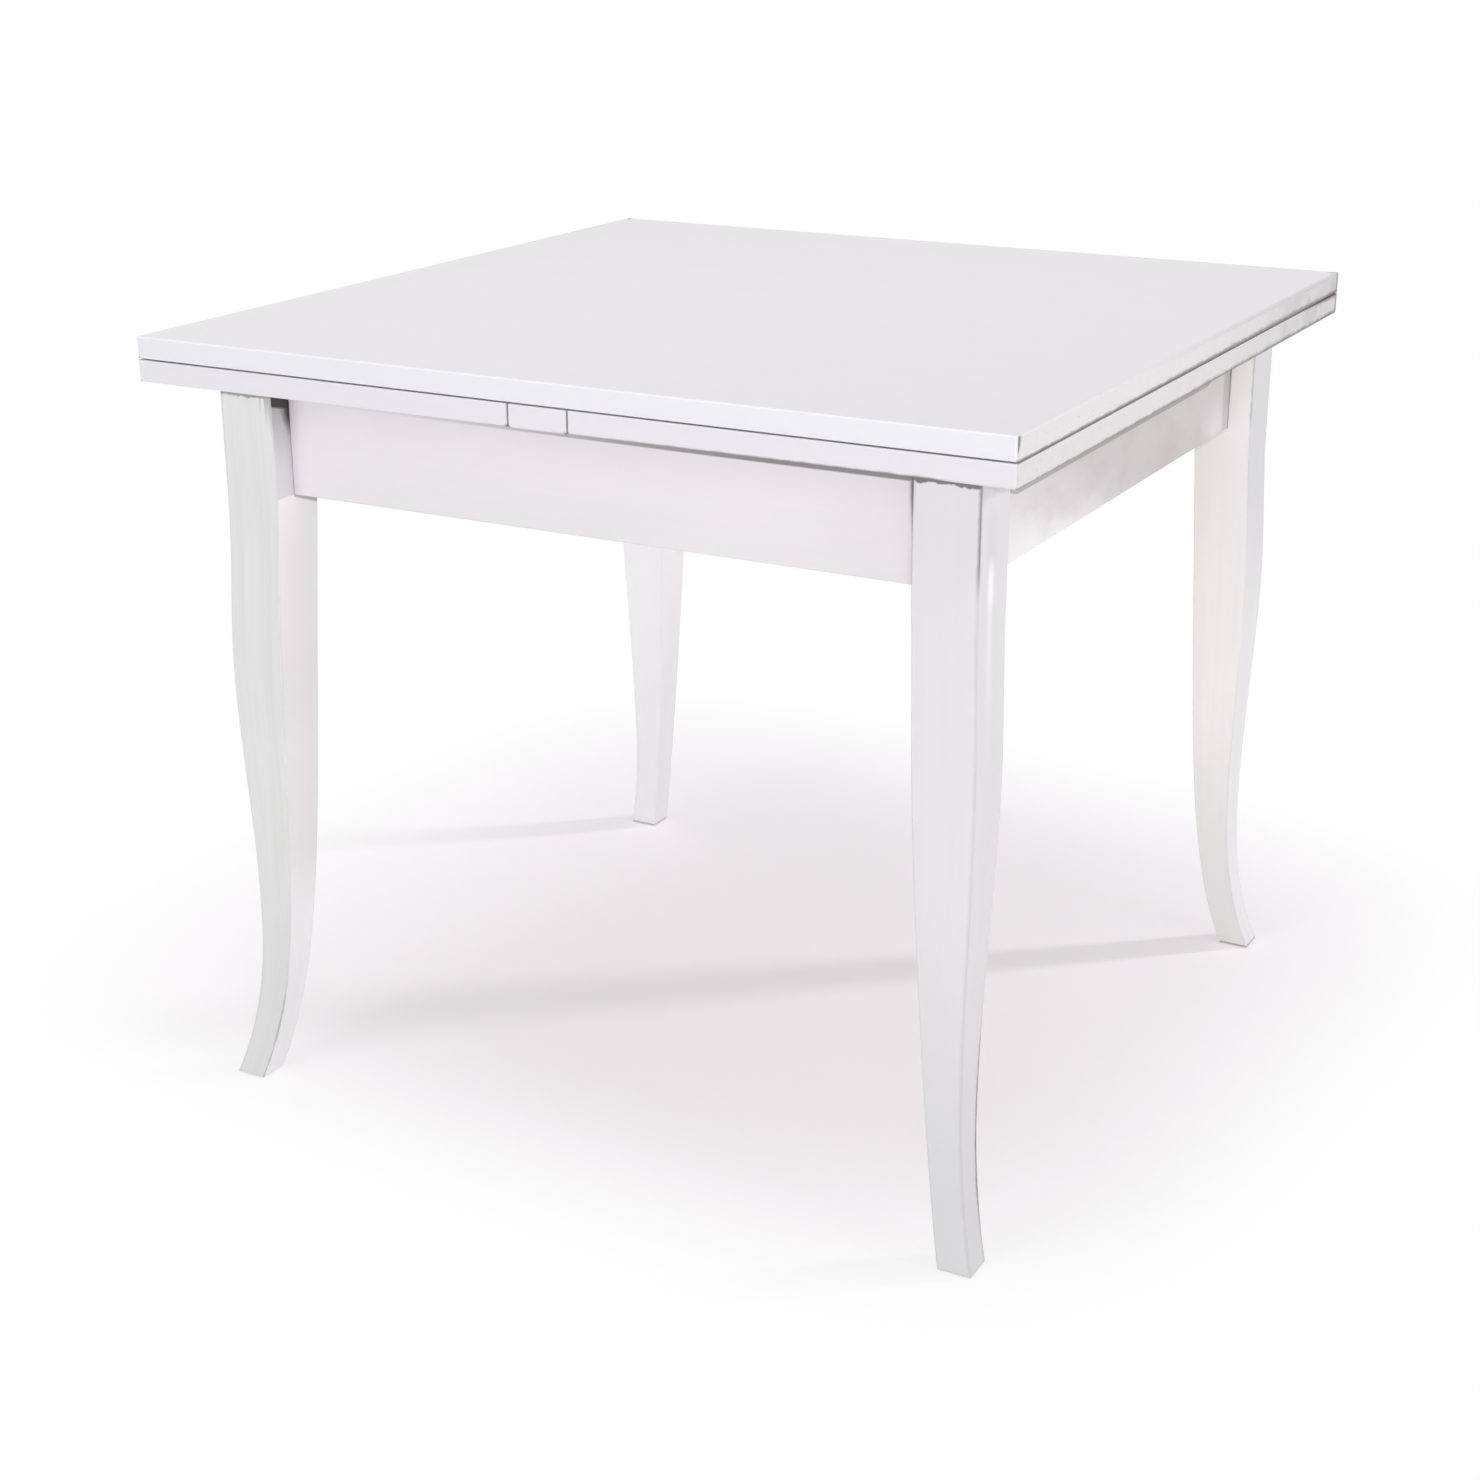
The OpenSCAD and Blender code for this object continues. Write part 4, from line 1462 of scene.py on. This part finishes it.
@dataclass(frozen=True)
class PlanedBeech:
    """Bare beech, planed and oiled thinly."""

    name: str
    grain: Grain
    suffix: str = "planed"
    pale: Colour = (0.66, 0.45, 0.27, 1.0)
    deep: Colour = (0.50, 0.31, 0.165, 1.0)
    fleck_tone: Colour = (0.30, 0.17, 0.09, 1.0)
    figure: tuple[float, float] = (4.0, 60.0)
    banding: float = 0.55
    poring: float = 0.25
    flecking: float = 0.5
    roughness: float = 0.43
    pore_roughness: float = 0.15
    relief: float = 0.2
    pore_depth: float = 0.2 * MM

    slot: ClassVar[Slot] = Slot.WOOD

    def material(self, effects: Effects) -> bpy.types.Material:
        """Builds the wood.

        Args:
            effects: the shared node groups.

        Returns:
            The material.
        """
        sheet = MaterialSheet(self.name)
        stretch = self.grain.stretch(*self.figure)
        figure = sheet.group(effects.beech, Vector=sheet.object_place(), Stretch=stretch)
        base = sheet.mix(sheet.times(figure["Bands"], self.banding), self.pale, self.deep)
        base = sheet.mix(sheet.times(figure["Pores"], self.poring), base, self.deep)
        base = sheet.mix(sheet.times(figure["Flecks"], self.flecking), base, self.fleck_tone)
        bump = {"Strength": self.relief, "Distance": self.pore_depth, "Height": figure["Pores"]}
        return sheet.dress(base, sheet.scaled(figure["Pores"], self.pore_roughness, self.roughness), bump)


@dataclass(frozen=True)
class PlainStuff:
    """A small part's stuff with a fine cloudy surface, such as plated steel, nylon or felt."""

    name: str
    suffix: str
    slot: Slot
    tone: Colour
    worn_tone: Colour
    metallic: float = 0.0
    roughness: float = 0.4
    grain_size: float = 0.8 * MM
    relief: float = 0.1

    ROUGH_SWING: ClassVar[float] = 0.2
    CLOUD_SIZE: ClassVar[float] = 4
    CLOUD_FADE: ClassVar[Fade] = (0.4, 0.65)
    DEPTH_SHARE: ClassVar[float] = 0.3

    def material(self) -> bpy.types.Material:
        """Builds the material.

        Returns:
            The material.
        """
        sheet = MaterialSheet(self.name)
        sheet.shader.inputs["Metallic"].default_value = self.metallic
        place = sheet.object_place()
        clouds = sheet.noise(place, scale=1 / self.CLOUD_SIZE / self.grain_size, detail=3.0, roughness=0.6)
        fine = sheet.noise(place, scale=1 / self.grain_size, detail=2.0, roughness=0.6)
        tone = sheet.mix(sheet.step(clouds, *self.CLOUD_FADE), self.tone, self.worn_tone)
        gloss = sheet.scaled(fine, self.ROUGH_SWING, self.roughness - self.ROUGH_SWING / 2)
        depth = self.grain_size * self.DEPTH_SHARE
        return sheet.dress(tone, gloss, {"Strength": self.relief, "Distance": depth, "Height": fine})


Finish = BrushedPaint | PlanedBeech | PlainStuff


class FinishStore:
    """Every finish, made once and kept by name."""

    def __init__(self, effects: Effects) -> None:
        """Starts an empty store.

        Args:
            effects: the shared node groups.
        """
        self.effects = effects
        self.made: dict[str, bpy.types.Material] = {}

    def of(self, finish: Finish) -> bpy.types.Material:
        """Hands out a finish's material, and makes it the first time.

        Args:
            finish: the finish.

        Returns:
            Its material.
        """
        if finish.name not in self.made:
            plain = isinstance(finish, PlainStuff)
            self.made[finish.name] = finish.material() if plain else finish.material(self.effects)
        return self.made[finish.name]


ZINC = PlainStuff("zinc_plated_steel", "plated", Slot.STEEL, grey(0.62, 0.02), grey(0.50, 0.03),
                  metallic=1.0, roughness=0.36, grain_size=0.6 * MM)
NYLON = PlainStuff("white_nylon", "moulded", Slot.NYLON, grey(0.72, 0.02), grey(0.66, 0.04), roughness=0.45,
                   grain_size=0.5 * MM)
FELT = PlainStuff("grey_felt", "cut", Slot.FELT, grey(0.42, 0.03), grey(0.33, 0.03), roughness=0.95,
                  grain_size=0.35 * MM, relief=0.6)

BEECH_UP = PlanedBeech("beech_up", Grain.Z, suffix="turned")
BEECH_ALONG = PlanedBeech("beech_along", Grain.X)
BEECH_ACROSS = PlanedBeech("beech_across", Grain.Y)
BEECH_SAWN = replace(BEECH_ACROSS, suffix="sawn")

TOP_PAINT = EdgePaint("top_paint", Grain.X, streaks=0.015, blotching=0.03, relief=0.04, gloss_swing=0.03,
                      brush=(2.6, 240.0), seam_side=-1, lower_arris_shade=0.0, corner_glaze=0.9, near_chip=0.85)
LEAF_PAINT = EdgePaint("leaf_paint", Grain.X, edge_tone=(0.81, 0.795, 0.83, 1.0), streaks=0.08,
                       blotching=0.08, end_shade_tone=(0.69, 0.675, 0.68, 1.0), arris_highlight=0.2,
                       lower_arris_shade=0.9, end_glaze=0.15, corner_glaze=0.9)
BATTEN_PAINT = EdgePaint("batten_paint", Grain.Y, edge_tone=LEAF_PAINT.edge_tone, streaks=0.08,
                         blotching=0.08, arris_highlight=0.2, lower_arris_shade=0.7, end_glaze=0.0,
                         corner_glaze=0.0)
LONG_RAIL_PAINT = RailPaint("long_rail_paint", Grain.X, streaks=0.06, blotching=0.08, upper_shade=0.38,
                            end_glaze=0.9, end_width=3.2 * MM)
END_RAIL_PAINT = RailPaint("end_rail_paint", Grain.Y, axis=1, tone=(0.83, 0.81, 0.825, 1.0),
                           far_tone=(0.515, 0.48, 0.485, 1.0), far_slant=2.6, far_start=-0.21,
                           far_end=0.12, streaks=0.08, blotch_tone=(0.42, 0.37, 0.375, 1.0),
                           blotching=0.3, blotch_scale=22.0, upper_shade=0.45,
                           upper_tone=(0.54, 0.50, 0.51, 1.0), upper_reach=70 * MM, overhang_shadow=0.5, end_lift=0.45,
                           end_width=1.5 * MM, end_glaze=0.3, arris_glaze=0.4)
LEG_PAINTS = {
    "leg_front_left": LegPaint(
        "leg_front_left_paint", Grain.Z, tone=(0.785, 0.788, 0.785, 1.0), side_shading_tone=(0.98, 0.96, 0.985, 1.0),
        streak_tone=(0.60, 0.60, 0.58, 1.0), streaks=0.28, side_streaks=0.15,
        glaze_and_shade_tone=(0.04, 0.034, 0.033, 1.0), recess=1.0, shade_spread=38 * MM, joint_width=28 * MM, joint_tail=0.3,
        outer_glaze=0.12, foot_shade=0.3, overhang_shadow=0.6, side_overhang_shadow=0.9),
    "leg_front_right": LegPaint(
        "leg_front_right_paint", Grain.Z, tone=(0.79, 0.765, 0.79, 1.0), side_shading_tone=(0.705, 0.68, 0.705, 1.0),
        streaks=0.10, recess=0.4, outer_glaze=0.7, glint=0.85, upper_shade=0.25, overhang_shadow=0.85, side_overhang_shadow=0.12,
        foot_tone=(0.595, 0.605, 0.605, 1.0), foot_shade=0.56, foot_edge=0.2, side_edges=0.15, ankle=1.0,
        sole=0.15),
    "leg_rear_right": LegPaint(
        "leg_rear_right_paint", Grain.Z, tone=(0.97, 0.955, 0.94, 1.0), side_shading_tone=(0.74, 0.715, 0.735, 1.0),
        streaks=0.10, side_streaks=2.0, recess=0.05, joint_width=1.2 * MM, outer_glaze=0.3, under_rail_shadow=0.12,
        side_glaze=0.45, side_upper_shade=1.0, overhang_shadow=0.7, side_overhang_shadow=0.8, side_foot_tone=(0.93, 0.90, 0.95, 1.0),
        foot_shade=0.4, foot_edge=0.1, side_edges=0.05, ankle=0.0, sole=0.9),
    "leg_rear_left": LegPaint(
        "leg_rear_left_paint", Grain.Z, tone=(0.985, 0.98, 1.0, 1.0), side_shading_tone=(0.88, 0.86, 0.89, 1.0),
        streaks=0.03, arris_glaze=0.06, recess=0.6, shade_spread=14 * MM, outer_glaze=0.3,
        foot_tone=(0.60, 0.56, 0.62, 1.0), foot_shade=0.12, foot_edge=0.1, side_edges=0.08, ankle=0.08,
        sole=0.7),
}


@dataclass
class Workshop:
    """What every sub-assembly needs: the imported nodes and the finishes."""

    nodes: Nodes
    store: FinishStore

    def smooth(self, node: str, finish: PlainStuff, radius: float = 0.0) -> None:
        """Finishes a small part, round where the CAD has facets.

        Args:
            node: the CAD node.
            finish: what it is made of.
            radius: how far its sharp corners are rounded, if they are.
        """
        piece = Workpiece(self.nodes[node])
        if radius:
            piece.ease(piece.sharp_edges(), radius)
        piece.finished(finish, self.store)

    def ease_box(self, node: str, radius: float, finish: BrushedPaint | PlanedBeech,
                 block: Block | None = None, seam: tuple[int, float] | None = None) -> None:
        """Finishes a squared piece.

        Args:
            node: the CAD node.
            radius: how far the arrises are rounded.
            finish: its paint or wood.
            block: the box whose arrises are eased and that the glaze is measured from, where it isn't the
                node's own.
            seam: -1 or 1 for the bottom or the top, where a smaller radius keeps the seam fine, and that
                radius.
        """
        piece = Workpiece(self.nodes[node])
        block = block or Block.around(node)
        if seam:
            piece.ease(piece.box_arrises(block, (2, seam[0])), seam[1])
        piece.ease(piece.box_arrises(block), radius)
        piece.mark(block)
        piece.finished(finish, self.store)


@dataclass
class TableTop:
    """The loose top: a panel in its lipping, with the two pegs that guide it."""

    shop: Workshop
    arris: float = 1.4 * MM
    seam_arris: float = 0.25 * MM
    peg_arris: float = 1.2 * MM
    washer_round: float = 0.5 * MM
    pad_round: float = 0.4 * MM

    def build(self) -> None:
        """Paints the panel and the lipping, and finishes the pegs and what is on them."""
        block = Block.around("top_panel", "top_lipping")
        for node in ("top_panel", "top_lipping"):
            self.shop.ease_box(node, self.arris, TOP_PAINT, block, seam=(-1, self.seam_arris))
        for end in ENDS:
            self.shop.ease_box(f"peg_{end}", self.peg_arris, BEECH_UP)
        self.shop.smooth("peg_washers", ZINC, self.washer_round)
        self.shop.smooth("peg_screws", ZINC)
        self.shop.smooth("felt_pads", FELT, self.pad_round)


@dataclass
class DrawLeaf:
    """A leaf with its lipping, its two lopers, their stop blocks and the screws."""

    shop: Workshop
    side: Side
    arris: float = 1.2 * MM
    seam_arris: float = 0.25 * MM
    loper_arris: float = 1.5 * MM
    stop_arris: float = 1.0 * MM

    def name(self, part: str) -> str:
        """Returns the name of one of this leaf's nodes."""
        return f"{self.side.value}_{part}"

    def build(self) -> None:
        """Paints the leaf and finishes what carries it."""
        leaf = (self.name("leaf_panel"), self.name("leaf_lipping"))
        block = Block.around(*leaf)
        for node in leaf:
            self.shop.ease_box(node, self.arris, LEAF_PAINT, block, seam=(1, self.seam_arris))
        for end in ENDS:
            self.shop.ease_box(self.name(f"loper_{end}"), self.loper_arris, BEECH_ALONG)
        self.shop.ease_box(self.name("stop_blocks"), self.stop_arris, BEECH_ALONG)
        self.shop.smooth(self.name("loper_screws"), ZINC)
        self.shop.smooth(self.name("stop_screws"), ZINC)


@dataclass
class UnderFrame:
    """Legs, rails, guide rails and the batten between the leaves.

    Attributes:
        shop: the nodes and finishes.
        lines: the table's lines.
        leg_arris: how far the legs' arrises are rounded, and likewise the next three.
        end_sight: how much of a long rail's end the leg hides, as a share of how far the leg stands out.
    """

    shop: Workshop
    lines: UnderLines
    leg_arris: float = 2.0 * MM
    rail_arris: float = 1.2 * MM
    batten_arris: float = 1.0 * MM
    glide_round: float = 1.2 * MM
    end_sight: float = 0.456

    def build(self) -> None:
        """Builds the legs first, because the rails end at them."""
        for end in ENDS:
            for side in Side:
                self.leg(f"leg_{end}_{side.value}")
        self.rails()
        for side in Side:
            self.shop.ease_box(f"guide_rail_{side.value}", self.rail_arris, BEECH_ACROSS)
        self.shop.ease_box("centre_batten", self.batten_arris, BATTEN_PAINT)
        self.shop.smooth("batten_screws", ZINC)
        self.shop.smooth("foot_glides", NYLON, self.glide_round)

    def leg(self, node: str) -> None:
        """Paints a leg, along its own curve.

        Args:
            node: the leg's name.
        """
        piece = Workpiece(self.shop.nodes[node])
        chains = piece.rising_arrises()
        course = LegCourse(chains)
        piece.ease(piece.edges_between(chains), self.leg_arris)
        piece.mark(course)
        piece.finished(replace(LEG_PAINTS[node], lines=self.lines), self.shop.store)

    def rails(self) -> None:
        """Paints the long rails and the end rails between the legs' inner faces."""
        lines = self.lines
        hidden = self.end_sight * (lines.leg_outer - lines.rail_face)
        long_paint = replace(LONG_RAIL_PAINT, lines=lines, end_hidden=hidden)
        end_paint = replace(END_RAIL_PAINT, lines=lines)
        for name, paint in (("rail_front", long_paint), ("rail_rear", long_paint),
                            ("end_rail_left", end_paint), ("end_rail_right", end_paint)):
            lo, hi = (Vector(corner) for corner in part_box(name))
            lo[paint.axis], hi[paint.axis] = -lines.leg_inner, lines.leg_inner
            self.shop.ease_box(name, self.rail_arris, paint, Block(lo, hi))


@dataclass
class CornerJoints:
    """The blocks and hanger bolts that pull each leg against its rails."""

    shop: Workshop
    block_arris: float = 1.0 * MM
    nut_round: float = 0.6 * MM
    washer_round: float = 0.4 * MM
    pitch: float = 1.25 * MM
    thread_depth: float = 0.7 * MM

    def build(self) -> None:
        """Finishes the blocks in beech and the hardware in steel."""
        for end in ENDS:
            for side in Side:
                self.shop.ease_box(f"corner_block_{end}_{side.value}", self.block_arris, BEECH_SAWN)
        self.shop.smooth("hanger_nuts", ZINC, self.nut_round)
        self.shop.smooth("hanger_washers", ZINC, self.washer_round)
        self.shop.smooth("corner_block_screws", ZINC)
        self.bolts()

    def bolts(self) -> None:
        """Turns the hanger bolts with their threads."""
        lathe = Lathe(self.shop.nodes["hanger_bolts"])
        for island in lathe.islands():
            axis = Vector((island.centre.x, island.centre.y, 0)).normalized()
            lathe.thread(island, axis, self.pitch, self.thread_depth)
        lathe.finished(ZINC, self.shop.store)


@dataclass(frozen=True)
class Viewpoint:
    """Where the photograph was taken from, fitted to the table's corners."""

    place: tuple[float, float, float] = (1.15659, -2.19593, 1.21333)
    azimuth: float = math.radians(28.70)
    elevation: float = math.radians(19.95)
    roll: float = math.radians(-0.13)
    focal_px: float = 2439.14
    image_px: float = 1480
    sensor_mm: float = 36

    def make_camera(self) -> None:
        """Makes the camera and sets it as the scene's."""
        forward = Vector((-math.sin(self.azimuth) * math.cos(self.elevation),
                          math.cos(self.azimuth) * math.cos(self.elevation), -math.sin(self.elevation)))
        level = forward.cross(Vector((0, 0, 1))).normalized()
        upright = level.cross(forward)
        right = math.cos(self.roll) * level + math.sin(self.roll) * upright
        up = math.cos(self.roll) * upright - math.sin(self.roll) * level
        data = bpy.data.cameras.new("camera")
        data.sensor_width = self.sensor_mm
        data.lens = self.focal_px * self.sensor_mm / self.image_px
        camera = bpy.data.objects.new("camera", data)
        turn = Matrix((right, up, -forward)).transposed().to_4x4()
        camera.matrix_world = Matrix.Translation(self.place) @ turn
        bpy.context.scene.collection.objects.link(camera)
        bpy.context.scene.camera = camera


@dataclass(frozen=True)
class Softbox:
    """A square area lamp."""

    name: str
    place: tuple[float, float, float]
    size: float
    power: float
    target: tuple[float, float, float] = (0.0, 0.0, 0.45)

    def hang(self) -> None:
        """Hangs the lamp and turns it to its target."""
        data = bpy.data.lights.new(self.name, "AREA")
        data.shape = "SQUARE"
        data.size = self.size
        data.energy = self.power
        lamp = bpy.data.objects.new(self.name, data)
        aim = (Vector(self.target) - Vector(self.place)).to_track_quat("-Z", "Y")
        lamp.matrix_world = Matrix.Translation(self.place) @ aim.to_matrix().to_4x4()
        lamp.visible_camera = False
        bpy.context.scene.collection.objects.link(lamp)


@dataclass
class Studio:
    """White floor and background, and soft lamps: two before the table, one right of it, above and behind.

    Attributes:
        floor_reach: half of the floor's side.
        shade_centre: middle of the patch where the floor shows its own tone, turned by shade_turn.
        shade_reach: how far the patch reaches along its axes, and shade_core the share that is all tone.
        floor_tone: the floor's colour in the patch, and floor_glow how much its shadows are lifted.
        bounce: how pale the floor is to the light that it throws back on the table.
        world_fill: how strongly the surrounding lights the table.
        lamps: the lamps.
    """

    floor_reach: float = 30.0
    shade_centre: tuple[float, float, float] = (-0.09, 0.18, 0.0)
    shade_turn: float = math.radians(5.2)
    shade_reach: tuple[float, float, float] = (0.79, 0.76, 1.0)
    shade_core: float = 0.51
    floor_glow: float = 0.304
    floor_tone: Colour = (0.793, 0.765, 0.798, 1.0)
    bounce: float = 0.96
    world_fill: float = 0.45
    lamps: tuple[Softbox, ...] = (
        Softbox("key", (-2.2, -6.0, 1.8), 3.0, 66.0),
        Softbox("low_front", (2.2, -4.4, 0.5), 1.6, 62.0),
        Softbox("right", (5.0, -1.2, 0.8), 1.6, 39.0),
        Softbox("overhead", (-0.4, -0.35, 3.0), 1.6, 21.0),
        Softbox("behind_right", (3.3, 2.75, 2.3), 0.3, 60.0),
    )

    def build(self) -> None:
        """Sets the view transform, the world, the floor and the lamps."""
        bpy.context.scene.view_settings.view_transform = "Standard"
        self.world()
        self.floor()
        for lamp in self.lamps:
            lamp.hang()

    def world(self) -> None:
        """Makes a white surrounding that fills the shadows and shows as white."""
        world = bpy.data.worlds.new("studio")
        bpy.context.scene.world = world
        sheet = NodeSheet.cleared(world)
        strength = sheet.step(self.seen(sheet), 0.0, 1.0, self.world_fill, 1.0)
        background = sheet.add("ShaderNodeBackground", {"Color": grey(1.0), "Strength": strength})
        sheet.add("ShaderNodeOutputWorld", {"Surface": background[0]})

    @staticmethod
    def seen(sheet: NodeSheet) -> Socket:
        """Returns 1 for rays that show the surrounding: from the camera, in gloss or through glass."""
        path = sheet.add("ShaderNodeLightPath")
        return sheet.most(*(path[f"Is {kind} Ray"] for kind in ("Camera", "Glossy", "Transmission")))

    def floor(self) -> None:
        """Lays the floor, white where nothing shades it, and paler in its shadows for the camera alone."""
        bm = bmesh.new()
        bmesh.ops.create_grid(bm, x_segments=1, y_segments=1, size=self.floor_reach)
        material = bpy.data.materials.new("studio_floor")
        sheet = NodeSheet.cleared(material)

        def layer(kind: str, *inputs: object) -> Socket:
            """Returns a shader that is fed in the order of its sockets."""
            return sheet.add(f"ShaderNode{kind}", dict(enumerate(inputs)))[0]

        toned = layer("AddShader", layer("BsdfDiffuse", self.floor_tone),
                      layer("Emission", grey(1.0), self.floor_glow))
        shown = layer("MixShader", self.off_patch(sheet), toned, layer("Emission", grey(1.0), 1.0))
        both = layer("MixShader", self.seen(sheet), layer("BsdfDiffuse", grey(self.bounce)), shown)
        sheet.add("ShaderNodeOutputMaterial", {"Surface": both})
        mesh_object("floor", bm, material)

    def off_patch(self, sheet: NodeSheet) -> Socket:
        """Returns 0 in the middle of the floor's shaded patch and 1 outside it, a square with round corners.

        Args:
            sheet: the floor's sheet.

        Returns:
            The mask.
        """
        turned = {"Vector": sheet.object_place(), "Center": self.shade_centre, "Angle": self.shade_turn}
        place = sheet.add("ShaderNodeVectorRotate", turned, rotation_type="Z_AXIS")[0]
        place = sheet.vector("DIVIDE", sheet.vector("SUBTRACT", place, self.shade_centre), self.shade_reach)
        squares = sheet.vector("MULTIPLY", place, place)
        length = sheet.add("ShaderNodeVectorMath", {0: squares}, operation="LENGTH")["Value"]
        return sheet.step(length, self.shade_core ** 2, 1.0)


def main() -> None:
    """Builds the camera, the table's sub-assemblies in order and the studio round them."""
    logging.basicConfig(level=logging.INFO, format="%(name)s: %(message)s")
    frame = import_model()
    Viewpoint().make_camera()
    shop = Workshop(frame["nodes"], FinishStore(Effects()))
    assemblies = [UnderFrame(shop, UnderLines.read()), CornerJoints(shop),
                  *(DrawLeaf(shop, side) for side in Side), TableTop(shop)]
    for assembly in assemblies:
        LOG.info("building %s", type(assembly).__name__)
        assembly.build()
    Studio().build()


if __name__ == "__main__":
    main()
